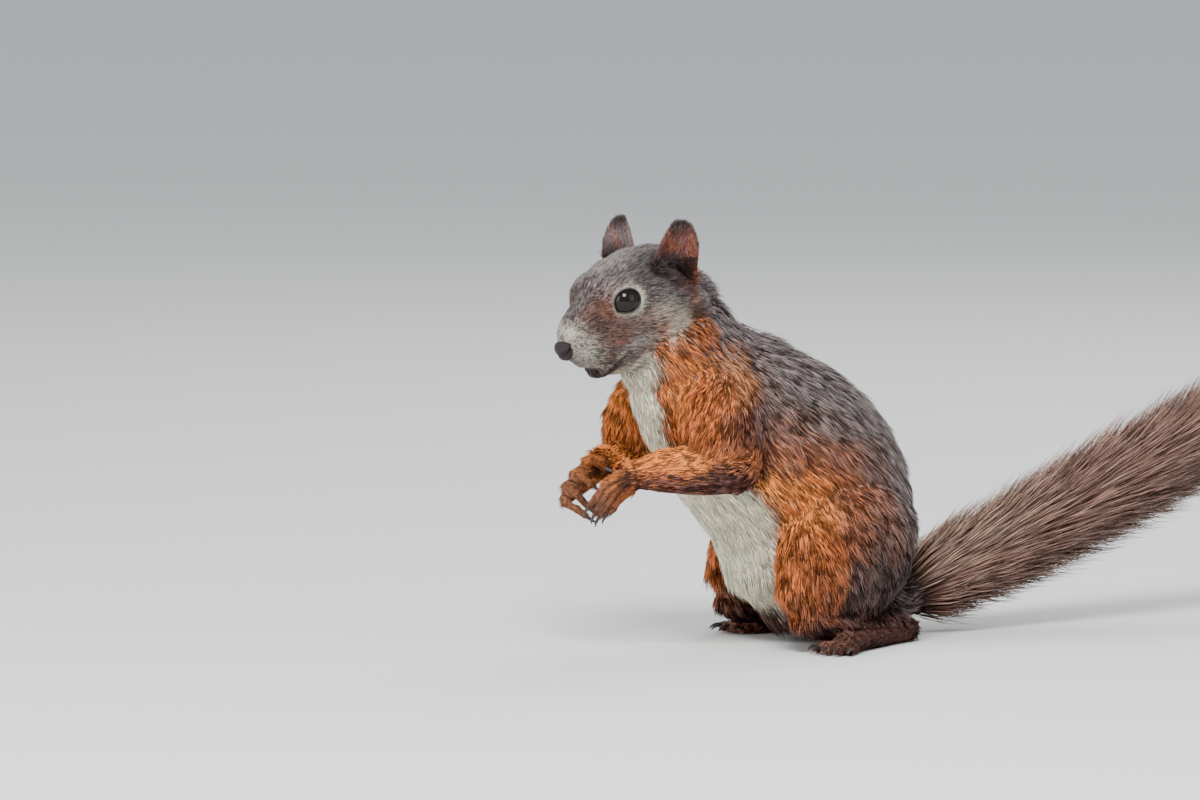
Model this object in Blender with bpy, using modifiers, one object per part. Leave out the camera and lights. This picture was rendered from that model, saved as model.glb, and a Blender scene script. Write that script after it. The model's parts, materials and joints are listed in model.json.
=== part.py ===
"""A life-size red squirrel sitting up on its haunches, forepaws together, in named parts.

The animal faces -Y, its left side is +X and +Z is up. The origin is on the floor, under the middle of its
outline. Lengths here are millimetres and MM turns them into metres. Each solid is the outline of the coat,
so the hair of the finished model lies inside it.
"""

import math

import bmesh
import bpy
from mathutils import Matrix, Vector

MM = 0.001
GAP = 0.32  # between neighbouring parts

# ---------------------------------------------------------------------------------------------------------
# Driving dimensions

HEAD_CENTRE = (1.0, -67.2, 115.1)
HEAD_PITCH = math.radians(15)  # nose down
HEAD_YAW = math.radians(10)  # nose to the animal's left
EYE_RADIUS = 4.9
EYE_SPREAD = 10.6  # from the head's middle plane
EYE_AHEAD = 6.0
EYE_UP = 4.5
TAIL_PITCH = math.radians(22)
CLAW_LENGTH = 4.4

# Trunk from nape to rump: y, z, half width, depth to the back, depth to the front
TRUNK = (
    (-58, 108, 15.5, 21.0, 13.0),
    (-50, 97, 19.5, 24.5, 16.5),
    (-42, 86, 24.0, 28.5, 21.0),
    (-32, 76, 27.5, 34.5, 26.0),
    (-20, 66, 29.5, 39.5, 29.0),
    (-7, 55, 31.0, 42.0, 32.0),
    (3, 43, 31.5, 41.0, 35.0),
    (9, 30, 30.0, 35.0, 35.0),
    (12, 18, 25.0, 26.0, 29.0),
)
TRUNK_CUTS = ((-52, 99), (-28, 72), (1, 46))  # where neck, chest, loin and pelvis part: y, z

# Skull from the nose back: ahead of the centre, height of the top and of the underside, half width
SKULL = (
    (28.4, -2.8, -8.8, 3.4),
    (26.2, 0.8, -11.4, 5.4),
    (23.4, 4.0, -13.4, 7.0),
    (19.6, 7.6, -16.4, 8.8),
    (15.6, 10.4, -20.2, 10.2),
    (11.0, 12.8, -21.8, 12.2),
    (6.0, 15.2, -21.0, 14.2),
    (0.0, 17.4, -19.8, 16.0),
    (-7.0, 18.2, -19.0, 17.2),
    (-14.0, 17.4, -18.0, 17.0),
    (-20.0, 15.4, -16.6, 15.6),
)
# Left ear from its root to its tip: ahead, left, up, half width, half thickness
EAR = (
    (-15.0, 11.5, 8.0, 7.2, 3.0),
    (-16.0, 12.8, 13.0, 7.8, 2.4),
    (-17.2, 14.4, 18.0, 7.2, 1.9),
    (-18.2, 15.4, 22.2, 5.4, 1.5),
    (-18.9, 16.1, 25.2, 2.9, 1.1),
)

# Tail: distance along it, height off its straight axis, half width, depth up, depth down
TAIL = (
    (0, 0, 10.0, 12.0, 14.0),
    (12, 0, 13.5, 15.5, 19.0),
    (24, 0, 15.0, 18.0, 22.6),
    (36, 0, 16.0, 20.0, 23.0),
    (54, 0, 16.5, 21.5, 24.0),
    (76, 0, 17.0, 22.5, 25.0),
    (104, 0.5, 17.0, 23.5, 25.0),
    (132, 1.5, 16.0, 23.5, 24.0),
    (156, 3, 13.5, 21.5, 21.5),
    (174, 4.5, 10.0, 15.0, 15.0),
    (186, 6, 5.5, 8.0, 8.0),
)
TAIL_ROOT = (0.0, 38.0, 12.0)
TAIL_CUTS = (34, 84, 134)  # distances along it

# Limbs, each row x, y, z, half width, half depth, for the left side or for each side by name
THIGH_LEFT = (
    (19, 25, 40, 12, 15),
    (22, 17, 38, 17, 22),
    (26, 4, 33, 17.5, 25),
    (30, -9, 26, 14.5, 20),
    (32, -17, 19, 9.5, 12),
)
THIGH_RIGHT = (
    (-19, 25, 40, 12, 15),
    (-21, 18, 38, 17, 22),
    (-23, 6, 33, 17.5, 24),
    (-25, -5, 26, 14, 19),
    (-26, -12, 19, 9.5, 12),
)
SHANK_LEFT = (
    (32, -14, 13, 8.5, 8.0),
    (30, -2, 10, 9.0, 8.0),
    (25, 12, 8.5, 8.0, 7.5),
    (20, 25, 7.5, 6.5, 6.5),
)
SHANK_RIGHT = (
    (-26.5, -10, 13, 8.5, 8.0),
    (-26, 0, 10, 9.0, 8.0),
    (-23.5, 14, 8.5, 8.0, 7.5),
    (-21, 26, 7.5, 6.5, 6.5),
)
FOOT_LEFT = ((18.5, 33, 4.2), (25, 20, 4.2), (33, 6, 3.9), (38, -3, 3.4))
FOOT_RIGHT = ((-20.5, 36, 4.2), (-23.0, 23, 4.2), (-26.0, 10, 3.9), (-28.0, 0, 3.4))
UPPER_ARM = {
    "left": (
        (17, -42, 86, 11, 13),
        (21.5, -42, 77, 12, 14.5),
        (25.5, -39, 69, 11, 13),
        (27, -37, 62, 8.5, 9.5),
    ),
    "right": (
        (-16, -46, 84, 11, 13),
        (-21.5, -48, 75, 12, 14),
        (-25.5, -48, 67, 10, 12),
        (-28, -47, 60, 8, 9),
    ),
}
FOREARM = {
    "left": (
        (28, -37, 63.2, 8.8, 9.8),
        (22.5, -47, 62.6, 8.6, 10.0),
        (16, -58, 61.4, 7.0, 8.2),
        (10.5, -67.5, 60.0, 4.8, 5.2),
    ),
    "right": (
        (-29, -46, 60.8, 8.0, 8.8),
        (-24, -55, 61.4, 7.8, 8.4),
        (-17, -63, 61.8, 6.4, 6.8),
        (-10.5, -69, 62.4, 4.6, 4.8),
    ),
}
# Each finger or toe: its points from the palm or sole to the tip
FINGERS = {
    "left": (
        ((7.5, -76.0, 57.6), (5.5, -79.0, 52.6), (2.5, -80.0, 49.3)),
        ((8.6, -75.5, 54.9), (6.8, -77.5, 51.0), (4.0, -78.4, 47.2)),
        ((9.6, -74.5, 53.2), (8.4, -76.5, 49.7), (6.2, -77.7, 46.5)),
        ((10.6, -72.9, 52.5), (9.8, -74.6, 49.5), (8.4, -75.7, 47.5)),
    ),
    "right": (
        ((-9.0, -76.1, 62.9), (-6.0, -74.4, 63.6), (-2.6, -72.4, 61.9)),
        ((-9.5, -80.4, 58.3), (-6.5, -77.9, 58.4), (-2.0, -76.6, 55.9)),
        ((-9.5, -83.3, 54.1), (-6.0, -80.1, 52.4), (-2.5, -77.9, 48.8)),
        ((-9.0, -83.9, 50.1), (-6.0, -80.6, 47.9), (-3.0, -78.5, 45.7)),
    ),
}
FINGER_GIRTHS = (1.75, 1.55, 1.3)
# The palm: x, y, z, half thickness sideways, half breadth
PALM = {
    "left": ((10.5, -68.5, 59.6, 4.2, 4.4), (9.8, -71.8, 57.6, 3.8, 4.6), (9.2, -74.2, 56.0, 3.2, 4.4)),
    "right": ((-9.8, -69.0, 61.8, 4.2, 4.2), (-10.0, -74.0, 59.8, 3.6, 5.0), (-10.0, -79.4, 56.4, 2.8, 6.4)),
}
TOE_LENGTHS = (8.5, 11.5, 12.5, 12.0, 9.0)  # from the inner toe out

# ---------------------------------------------------------------------------------------------------------
# Coat and skin colours: colour, roughness

GREY_BROWN = ((0.10, 0.075, 0.062), 0.85)
ORANGE = ((0.42, 0.13, 0.035), 0.85)
DARK_BROWN = ((0.055, 0.03, 0.024), 0.8)
PAW_BROWN = ((0.20, 0.09, 0.05), 0.75)
EYE_BLACK = ((0.008, 0.006, 0.006), 0.08)
NOSE_DARK = ((0.05, 0.035, 0.035), 0.45)
CLAW_BLACK = ((0.02, 0.016, 0.015), 0.35)

# ---------------------------------------------------------------------------------------------------------
# Making things


def clear_file():
    """Remove whatever the file already holds."""
    for thing in list(bpy.data.objects):
        bpy.data.objects.remove(thing, do_unlink=True)


def new_collection(name):
    """A collection of this name, linked to the scene."""
    collection = bpy.data.collections.new(name)
    bpy.context.scene.collection.children.link(collection)
    return collection


def material(name, look):
    """A plain coat or skin material."""
    colour, roughness = look
    made = bpy.data.materials.new(name)
    made.use_nodes = True
    made.diffuse_color = (*colour, 1.0)
    shader = made.node_tree.nodes["Principled BSDF"]
    shader.inputs["Base Color"].default_value = (*colour, 1.0)
    shader.inputs["Roughness"].default_value = roughness
    shader.inputs["Metallic"].default_value = 0.0
    return made


def on_head(ahead, left, up):
    """A point or direction given in the head's own axes, from the head's centre."""
    turn = Matrix.Rotation(HEAD_YAW, 3, "Z") @ Matrix.Rotation(HEAD_PITCH, 3, "X")
    return Vector(HEAD_CENTRE) + turn @ Vector((left, -ahead, up))


def head_direction(ahead, left, up):
    """A direction given in the head's own axes."""
    return on_head(ahead, left, up) - Vector(HEAD_CENTRE)


def smooth_rows(rows, per_span):
    """Rows of numbers along a form, with more rows run in between them on a smooth curve."""
    dense = []
    last = len(rows) - 1
    for index in range(last):
        before = rows[max(index - 1, 0)]
        start = rows[index]
        end = rows[index + 1]
        after = rows[min(index + 2, last)]
        for step in range(per_span):
            t = step / per_span
            row = []
            for a, b, c, d in zip(before, start, end, after):
                second = 2 * a - 5 * b + 4 * c - d
                third = 3 * b - a - 3 * c + d
                curve = 2 * b + (c - a) * t + second * t**2 + third * t**3
                row.append(curve / 2)
            dense.append(tuple(row))
    dense.append(tuple(rows[last]))
    return dense


def body_from(name, points, faces):
    """A mesh object from points in millimetres."""
    mesh = bpy.data.meshes.new(name)
    mesh.from_pydata([tuple(Vector(point) * MM) for point in points], [], faces)
    made = bpy.data.objects.new(name, mesh)
    PARTS.objects.link(made)
    shell = bmesh.new()
    shell.from_mesh(mesh)
    bmesh.ops.recalc_face_normals(shell, faces=shell.faces)
    shell.to_mesh(mesh)
    shell.free()
    return made


def loft(name, rows, sides=16, across=(1, 0, 0), start_round=0.8, end_round=0.8, cap_rings=2):
    """A closed form through rows of x, y, z, half width, depth up and depth down, with rounded ends.

    The width lies along `across`, squared to the form's path, and up is to the other side of it.
    """
    centres = [Vector(row[:3]) for row in rows]
    rings = []
    count = len(rows)
    for index, row in enumerate(rows):
        ahead = centres[min(index + 1, count - 1)] - centres[max(index - 1, 0)]
        ahead.normalize()
        side = Vector(across) - ahead * Vector(across).dot(ahead)
        side.normalize()
        up = side.cross(ahead)
        rings.append((centres[index], ahead, side, up, row[3], row[4], row[5]))

    def cap(ring, sign, roundness):
        """Rings that close an end, from the largest to the smallest."""
        centre, ahead, side, up, width, over, under = ring
        made = []
        for step in range(1, cap_rings + 1):
            angle = 0.5 * math.pi * step / (cap_rings + 1)
            out = roundness * min(width, over, under) * math.sin(angle)
            shrink = math.cos(angle)
            moved = centre + ahead * sign * out
            made.append((moved, ahead, side, up, width * shrink, over * shrink, under * shrink))
        return made

    first = cap(rings[0], -1, start_round)
    last = cap(rings[-1], 1, end_round)
    every = list(reversed(first)) + rings + last
    points = []
    for centre, ahead, side, up, width, over, under in every:
        for step in range(sides):
            angle = 2 * math.pi * step / sides
            rise = math.sin(angle)
            depth = over if rise > 0 else under
            points.append(centre + side * width * math.cos(angle) + up * depth * rise)
    faces = []
    for ring in range(len(every) - 1):
        for step in range(sides):
            a = ring * sides + step
            b = ring * sides + (step + 1) % sides
            faces.append((a, b, b + sides, a + sides))
    tips = (
        (rings[0], -1, start_round, 0),
        (rings[-1], 1, end_round, (len(every) - 1) * sides),
    )
    for ring, sign, roundness, base in tips:
        centre, ahead, side, up, width, over, under = ring
        tip = len(points)
        points.append(centre + ahead * sign * roundness * min(width, over, under))
        for step in range(sides):
            faces.append((base + step, base + (step + 1) % sides, tip))
    return body_from(name, points, faces)


def round_rows(rows):
    """Rows with one depth, given the same depth up and down."""
    return [(*row[:5], row[4]) for row in rows]


def ball(name, centre, radii, axes=None, segments=14, rings=9):
    """A ball stretched to three radii along its own axes."""
    shell = bmesh.new()
    bmesh.ops.create_uvsphere(shell, u_segments=segments, v_segments=rings, radius=1.0)
    mesh = bpy.data.meshes.new(name)
    shell.to_mesh(mesh)
    shell.free()
    turn = Matrix.Identity(3) if axes is None else Matrix(axes).transposed()
    for vertex in mesh.vertices:
        stretched = Vector((vertex.co.x * radii[0], vertex.co.y * radii[1], vertex.co.z * radii[2]))
        vertex.co = (Vector(centre) + turn @ stretched) * MM
    made = bpy.data.objects.new(name, mesh)
    PARTS.objects.link(made)
    return made


def settle(thing):
    """Make an object's modifiers part of its mesh."""
    graph = bpy.context.evaluated_depsgraph_get()
    solid = bpy.data.meshes.new_from_object(thing.evaluated_get(graph))
    thing.modifiers.clear()
    old = thing.data
    thing.data = solid
    bpy.data.meshes.remove(old)
    return thing


def solid_volume(mesh):
    """The volume of a closed mesh, or nothing if it isn't closed."""
    shell = bmesh.new()
    shell.from_mesh(mesh)
    closed = len(shell.faces) > 0 and all(len(edge.link_faces) == 2 for edge in shell.edges)
    volume = shell.calc_volume(signed=True) if closed else 0.0
    shell.free()
    return volume


def combine(thing, other, operation):
    """Cut one object with another, or join them, and keep the largest piece left."""
    before = thing.data.copy()
    start = solid_volume(before)
    for tolerant, nudge in ((False, 0.0), (True, 0.0), (False, 0.013), (True, 0.029)):
        other.data.transform(Matrix.Translation(Vector((nudge, nudge, nudge)) * MM))
        cut = thing.modifiers.new("Cut", "BOOLEAN")
        cut.operation = operation
        cut.solver = "EXACT"
        cut.use_hole_tolerant = tolerant
        cut.object = other
        settle(thing)
        keep_largest(thing)
        volume = solid_volume(thing.data)
        other.data.transform(Matrix.Translation(Vector((nudge, nudge, nudge)) * -MM))
        if volume > 0 and (operation != "UNION" or volume > 0.99 * start):
            return thing
        thing.data = before.copy()
    raise RuntimeError(f"{operation} of {thing.name} with {other.name} failed")


def keep_largest(thing):
    """Drop all but the largest closed piece of an object."""
    shell = bmesh.new()
    shell.from_mesh(thing.data)
    bmesh.ops.remove_doubles(shell, verts=shell.verts, dist=0.000001)
    bmesh.ops.dissolve_degenerate(shell, edges=shell.edges, dist=0.000001)
    unseen = set(shell.faces)
    pieces = []
    while unseen:
        start = unseen.pop()
        piece = [start]
        queue = [start]
        while queue:
            face = queue.pop()
            for edge in face.edges:
                for near in edge.link_faces:
                    if near in unseen:
                        unseen.remove(near)
                        piece.append(near)
                        queue.append(near)
        pieces.append(piece)
    pieces.sort(key=lambda piece: sum(face.calc_area() for face in piece))
    for piece in pieces[:-1]:
        bmesh.ops.delete(shell, geom=piece, context="FACES")
    shell.to_mesh(thing.data)
    shell.free()


def grown(thing, amount):
    """A copy of an object, every face moved out by an amount, to cut its neighbours with."""
    copy = bpy.data.objects.new(thing.name + "_cutter", thing.data.copy())
    CUTTERS.objects.link(copy)
    copy.hide_render = True
    copy.display_type = "WIRE"
    swell = copy.modifiers.new("Swell", "DISPLACE")
    swell.strength = amount * MM
    swell.mid_level = 0.0
    settle(copy)
    return copy


def block(name, low, high):
    """A box between two corners, used as a cutter."""
    shell = bmesh.new()
    bmesh.ops.create_cube(shell, size=1.0)
    mesh = bpy.data.meshes.new(name)
    shell.to_mesh(mesh)
    shell.free()
    low = Vector(low)
    high = Vector(high)
    for vertex in mesh.vertices:
        place = [(low[i] + high[i]) / 2 + vertex.co[i] * (high[i] - low[i]) for i in range(3)]
        vertex.co = Vector(place) * MM
    made = bpy.data.objects.new(name, mesh)
    CUTTERS.objects.link(made)
    made.hide_render = True
    made.display_type = "WIRE"
    return made


def blended(thing, others, voxel, triangles):
    """One smooth closed form from several that overlap, with about this many triangles."""
    shell = bmesh.new()
    shell.from_mesh(thing.data)
    for other in others:
        shell.from_mesh(other.data)
        bpy.data.objects.remove(other, do_unlink=True)
    shell.to_mesh(thing.data)
    shell.free()
    skin = thing.modifiers.new("One skin", "REMESH")
    skin.mode = "VOXEL"
    skin.voxel_size = voxel * MM
    soften = thing.modifiers.new("Soften", "SMOOTH")
    soften.factor = 0.5
    soften.iterations = 2
    settle(thing)
    keep_largest(thing)
    lighten = thing.modifiers.new("Lighten", "DECIMATE")
    lighten.ratio = triangles / (2 * len(thing.data.polygons))
    settle(thing)
    keep_largest(thing)
    return thing


def boxes_meet(first, second):
    """Whether the boxes round two objects overlap."""
    spans = []
    for thing in (first, second):
        corners = [vertex.co for vertex in thing.data.vertices]
        spans.append([(min(c[i] for c in corners), max(c[i] for c in corners)) for i in range(3)])
    return all(a[0] < b[1] + 0.0005 and b[0] < a[1] + 0.0005 for a, b in zip(*spans))


def part_at(thing, cuts, names):
    """Part an object into lengths at planes, each plane given by a point and a direction along it."""
    pieces = []
    for index, name in enumerate(names):
        shell = bmesh.new()
        shell.from_mesh(thing.data)
        planes = []
        if index > 0:
            point, ahead = cuts[index - 1]
            planes.append((Vector(point) + ahead * GAP / 2, -ahead))
        if index < len(cuts):
            point, ahead = cuts[index]
            planes.append((Vector(point) - ahead * GAP / 2, ahead))
        for point, outward in planes:
            everything = list(shell.verts) + list(shell.edges) + list(shell.faces)
            cut = bmesh.ops.bisect_plane(
                shell, geom=everything, plane_co=point * MM, plane_no=outward, clear_outer=True, dist=0.000001
            )
            rim = [item for item in cut["geom_cut"] if isinstance(item, bmesh.types.BMEdge)]
            bmesh.ops.contextual_create(shell, geom=rim)
        bmesh.ops.recalc_face_normals(shell, faces=shell.faces)
        mesh = bpy.data.meshes.new(name)
        shell.to_mesh(mesh)
        shell.free()
        made = bpy.data.objects.new(name, mesh)
        PARTS.objects.link(made)
        pieces.append(made)
    bpy.data.objects.remove(thing, do_unlink=True)
    return pieces


# ---------------------------------------------------------------------------------------------------------
# The animal

clear_file()
PARTS = new_collection("red squirrel")
CUTTERS = new_collection("cutters")
CUTTERS.hide_render = True

# Head
skull_rows = []
for ahead, top, underside, width in smooth_rows(SKULL, 1):
    widest = 0.45 * top + 0.55 * underside
    skull_rows.append((*on_head(ahead, 0, widest), width, top - widest, widest - underside))
head = loft("head", skull_rows, sides=16, across=head_direction(0, 1, 0), start_round=0.4, end_round=0.7)
nose = ball("nose", on_head(26.8, 0, -6.0), (3.4, 2.8, 3.2), segments=12, rings=8)
eyes = []
ears = []
for side, hand in (("left", 1), ("right", -1)):
    centre = on_head(EYE_AHEAD, EYE_SPREAD * hand, EYE_UP)
    eyes.append(ball("eye_" + side, centre, (EYE_RADIUS,) * 3, segments=12, rings=8))
    broad = head_direction(-14, 2.2 * hand, -3)
    ear_rows = []
    for ahead, left, up, half_width, half_depth in smooth_rows(EAR, 1):
        ear_rows.append((*on_head(ahead, left * hand, up), half_width, half_depth, half_depth))
    ears.append(loft("ear_" + side, ear_rows, sides=12, across=broad, cap_rings=1))

# Trunk, parted into neck, chest, loin and pelvis
trunk_rows = []
for y, z, width, back, front in smooth_rows(TRUNK, 2):
    trunk_rows.append((0.0, y, z, width, back, front))
trunk = loft("trunk", trunk_rows, sides=18, across=(1, 0, 0), start_round=0.5, end_round=0.62, cap_rings=2)
trunk_planes = []
for y, z in TRUNK_CUTS:
    gaps = [abs(row[1] - y) + abs(row[2] - z) for row in trunk_rows[1:-1]]
    nearest = 1 + gaps.index(min(gaps))
    ahead = Vector(trunk_rows[nearest + 1][:3]) - Vector(trunk_rows[nearest - 1][:3])
    trunk_planes.append(((0.0, y, z), ahead.normalized()))
neck, chest, loin, pelvis = part_at(trunk, trunk_planes, ("neck", "chest", "loin", "pelvis"))

# Tail, parted into four lengths
tail_rows = []
along_tail = Vector((0, math.cos(TAIL_PITCH), math.sin(TAIL_PITCH)))
above_tail = Vector((0, -math.sin(TAIL_PITCH), math.cos(TAIL_PITCH)))
for distance, rise, width, over, under in smooth_rows(TAIL, 1):
    place = Vector(TAIL_ROOT) + along_tail * distance + above_tail * rise
    tail_rows.append((*place, width, over, under))
tail = loft("tail", tail_rows, sides=16, across=(1, 0, 0), start_round=0.6, end_round=0.8)
tail_planes = [(Vector(TAIL_ROOT) + along_tail * distance, along_tail) for distance in TAIL_CUTS]
tail_parts = part_at(tail, tail_planes, ("tail_base", "tail_middle", "tail_upper", "tail_tip"))

# Limbs
thighs = []
shanks = []
feet = []
upper_arms = []
forearms = []
hands = []
claws = []
for side, hand in (("left", 1), ("right", -1)):
    thigh_rows = round_rows(smooth_rows(THIGH_LEFT if hand > 0 else THIGH_RIGHT, 2))
    thighs.append(loft("thigh_" + side, thigh_rows, sides=16, across=(-1, 0.2 * hand, 0), cap_rings=1))
    shank_rows = round_rows(smooth_rows(SHANK_LEFT if hand > 0 else SHANK_RIGHT, 1))
    shanks.append(loft("shank_" + side, shank_rows, sides=12, across=(-1, 0, 0), cap_rings=1))
    arm_rows = round_rows(smooth_rows(UPPER_ARM[side], 2))
    upper_arms.append(loft("upper_arm_" + side, arm_rows, sides=12, across=(1, 0, 0), cap_rings=1))
    arm_rows = round_rows(smooth_rows(FOREARM[side], 1))
    forearms.append(loft("forearm_" + side, arm_rows, sides=12, across=(1, 0, 0), cap_rings=1))

    # A long flat sole with five toes
    path = [Vector(point) for point in (FOOT_LEFT if side == "left" else FOOT_RIGHT)]
    widths = (4.2, 4.6, 5.2, 5.4)
    sole_rows = []
    for point, width in zip(path, widths):
        sole_rows.append((*point, width, 4.2, 4.6))
    forward = (path[3] - path[1]).normalized()
    forward.z = 0
    level = Vector((forward.y, -forward.x, 0)).normalized()
    sole_rows = smooth_rows(sole_rows, 2)
    foot = loft("foot_" + side, sole_rows, sides=12, across=level, start_round=0.8, end_round=0.7)
    toes = []
    for number, length in enumerate(TOE_LENGTHS):
        spread = (number - 2) * 0.5
        sideways = level * (1 if level.x * hand > 0 else -1)
        start = path[3] + sideways * (number - 2) * 2.1 - forward * 2.0
        start.z = 2.6
        heading = (forward + sideways * spread * 0.28).normalized()
        middle = start + heading * length * 0.55
        middle.z = 3.2
        tip = start + heading * length
        tip.z = 1.9
        toe_rows = [(*start, 1.8, 2.0, 2.4), (*middle, 1.6, 1.7, 3.0), (*tip, 1.4, 1.5, 2.0)]
        toe = loft("toe", smooth_rows(toe_rows, 2), sides=8, across=level, cap_rings=1)
        toes.append(toe)
        beyond = heading * CLAW_LENGTH
        claw_start = tip + heading * 1.0 + Vector((0, 0, 0.5))
        claw_rows = [
            (*claw_start, 0.75, 0.9, 0.8),
            (*(claw_start + beyond * 0.4 + Vector((0, 0, 0.45))), 0.6, 0.75, 0.7),
            (*(claw_start + beyond * 0.75 + Vector((0, 0, -0.15))), 0.42, 0.5, 0.5),
            (*(claw_start + beyond * 0.95 + Vector((0, 0, -1.1))), 0.25, 0.28, 0.28),
        ]
        claws.append(loft(f"toe_claw_{side}_{number + 1}", claw_rows, sides=5, across=level, cap_rings=0))
    feet.append(blended(foot, toes, 0.45, 240))

    # A slim palm with four long fingers
    palm = loft("hand_" + side, round_rows(smooth_rows(PALM[side], 2)), sides=12, across=(1, 0.2 * hand, 0))
    digits = []
    for number, finger in enumerate(FINGERS[side]):
        points = [Vector(point) for point in finger]
        finger_rows = []
        for point, girth in zip(points, FINGER_GIRTHS):
            finger_rows.append((*point, girth, girth, girth))
        digit = loft("finger", smooth_rows(finger_rows, 2), sides=8, across=(1, 0.3, 0), cap_rings=1)
        digits.append(digit)
        heading = (points[2] - points[1]).normalized()
        claw_start = points[2] + heading * 0.9
        inward = Vector((0, 1, 0)) - heading * heading.y
        claw_rows = [
            (*claw_start, 0.7, 0.8, 0.8),
            (*(claw_start + heading * CLAW_LENGTH * 0.36 - inward * 0.2), 0.55, 0.65, 0.65),
            (*(claw_start + heading * CLAW_LENGTH * 0.66 + inward * 0.2), 0.4, 0.45, 0.45),
            (*(claw_start + heading * CLAW_LENGTH * 0.86 + inward * 0.9), 0.25, 0.28, 0.28),
        ]
        claw_name = f"finger_claw_{side}_{number + 1}"
        claws.append(loft(claw_name, claw_rows, sides=5, across=(1, 0, 0), cap_rings=0))
    hands.append(blended(palm, digits, 0.4, 330))

# Everything that reaches below the floor is cut level with it
floor = block("floor_cutter", (-300, -300, -80), (300, 400, 0))
for thing in [*feet, *shanks, *thighs, *tail_parts, pelvis, *claws]:
    if min(vertex.co.z for vertex in thing.data.vertices) < 0:
        combine(thing, floor, "DIFFERENCE")

# Each part gives way to the ones before it in this order
order = [*claws, *eyes, nose, head, *ears, *hands, *feet, *forearms, *upper_arms, *thighs, *shanks]
order += [neck, chest, loin, pelvis, *tail_parts]
trunk_lengths = {"neck", "chest", "loin", "pelvis"}
tail_lengths = {thing.name for thing in tail_parts}
cutters = [grown(thing, GAP) for thing in order]
for later, thing in enumerate(order):
    for earlier in range(later):
        other = order[earlier]
        names = {thing.name, other.name}
        if names <= trunk_lengths or names <= tail_lengths:
            continue
        if boxes_meet(thing, cutters[earlier]):
            combine(thing, cutters[earlier], "DIFFERENCE")

# Colours
looks = {
    "head": GREY_BROWN, "ear": GREY_BROWN, "neck": ORANGE, "chest": ORANGE, "loin": GREY_BROWN,
    "pelvis": GREY_BROWN, "tail": GREY_BROWN, "upper": ORANGE, "forearm": ORANGE, "thigh": ORANGE,
    "shank": DARK_BROWN, "foot": DARK_BROWN, "hand": PAW_BROWN, "eye": EYE_BLACK, "nose": NOSE_DARK,
    "toe": CLAW_BLACK, "finger": CLAW_BLACK,
}
for thing in order:
    thing.data.materials.clear()
    thing.data.materials.append(material(thing.name + " coat", looks[thing.name.split("_")[0]]))

# The origin goes on the floor under the middle of the outline
low = [min(vertex.co[i] for thing in order for vertex in thing.data.vertices) for i in range(3)]
high = [max(vertex.co[i] for thing in order for vertex in thing.data.vertices) for i in range(3)]
shift = Vector((-(low[0] + high[0]) / 2, -(low[1] + high[1]) / 2, -low[2]))
for thing in [*order, *CUTTERS.objects]:
    thing.data.transform(Matrix.Translation(shift))
    thing.data.update()
MODEL_SHIFT_MM = tuple(shift / MM)
print("moved by", [round(value, 2) for value in MODEL_SHIFT_MM], "mm")
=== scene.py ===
# %% [markdown]
# # A red squirrel, sitting up with its hands together
# This lesson covers a solid, life-size squirrel with a skin and a coat of fur, as a museum shows one.
# The solid model gives the true outline, out to the tips of the hair.
# The work goes from the inside out: the flesh, the face, the ears, the markings, and last the fur.
# Every length is first written in millimetres, which suit a small animal, and turned into metres at the end.

# %% Open the solid model
import json
import math
import bpy
import numpy as np
from mathutils import Matrix, Vector
from mathutils.bvhtree import BVHTree
from mathutils.kdtree import KDTree

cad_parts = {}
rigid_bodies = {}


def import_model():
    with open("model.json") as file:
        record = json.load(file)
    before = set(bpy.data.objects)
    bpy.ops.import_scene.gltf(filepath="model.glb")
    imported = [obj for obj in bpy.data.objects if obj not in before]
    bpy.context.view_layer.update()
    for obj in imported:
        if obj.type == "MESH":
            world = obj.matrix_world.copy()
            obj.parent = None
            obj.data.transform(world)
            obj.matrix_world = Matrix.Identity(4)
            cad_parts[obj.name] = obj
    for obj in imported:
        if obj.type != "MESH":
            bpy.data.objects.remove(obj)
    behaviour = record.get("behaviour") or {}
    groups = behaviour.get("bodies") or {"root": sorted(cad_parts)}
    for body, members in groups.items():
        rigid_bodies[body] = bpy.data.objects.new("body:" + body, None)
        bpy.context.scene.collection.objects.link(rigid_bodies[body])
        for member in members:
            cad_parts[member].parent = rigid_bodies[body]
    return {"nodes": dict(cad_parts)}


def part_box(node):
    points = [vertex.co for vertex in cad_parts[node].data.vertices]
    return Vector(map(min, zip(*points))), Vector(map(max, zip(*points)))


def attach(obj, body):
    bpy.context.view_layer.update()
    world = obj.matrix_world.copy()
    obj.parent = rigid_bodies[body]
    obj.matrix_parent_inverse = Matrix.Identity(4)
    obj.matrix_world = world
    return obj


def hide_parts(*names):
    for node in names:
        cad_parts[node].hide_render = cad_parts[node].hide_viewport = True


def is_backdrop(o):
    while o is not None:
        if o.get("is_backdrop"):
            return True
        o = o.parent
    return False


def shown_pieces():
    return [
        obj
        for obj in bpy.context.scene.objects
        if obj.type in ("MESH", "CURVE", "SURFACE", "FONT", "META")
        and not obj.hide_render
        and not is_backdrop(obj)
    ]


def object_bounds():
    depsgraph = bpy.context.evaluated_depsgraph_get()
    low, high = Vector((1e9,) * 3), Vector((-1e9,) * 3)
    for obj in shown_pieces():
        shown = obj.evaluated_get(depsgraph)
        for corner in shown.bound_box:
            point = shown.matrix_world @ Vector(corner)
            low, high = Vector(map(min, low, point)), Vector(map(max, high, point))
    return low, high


for leftover in list(bpy.data.objects):
    bpy.data.objects.remove(leftover)
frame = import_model()
solid_low, solid_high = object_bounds()
print("the solid model measures", [round(side * 1000, 1) for side in solid_high - solid_low], "mm")

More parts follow.
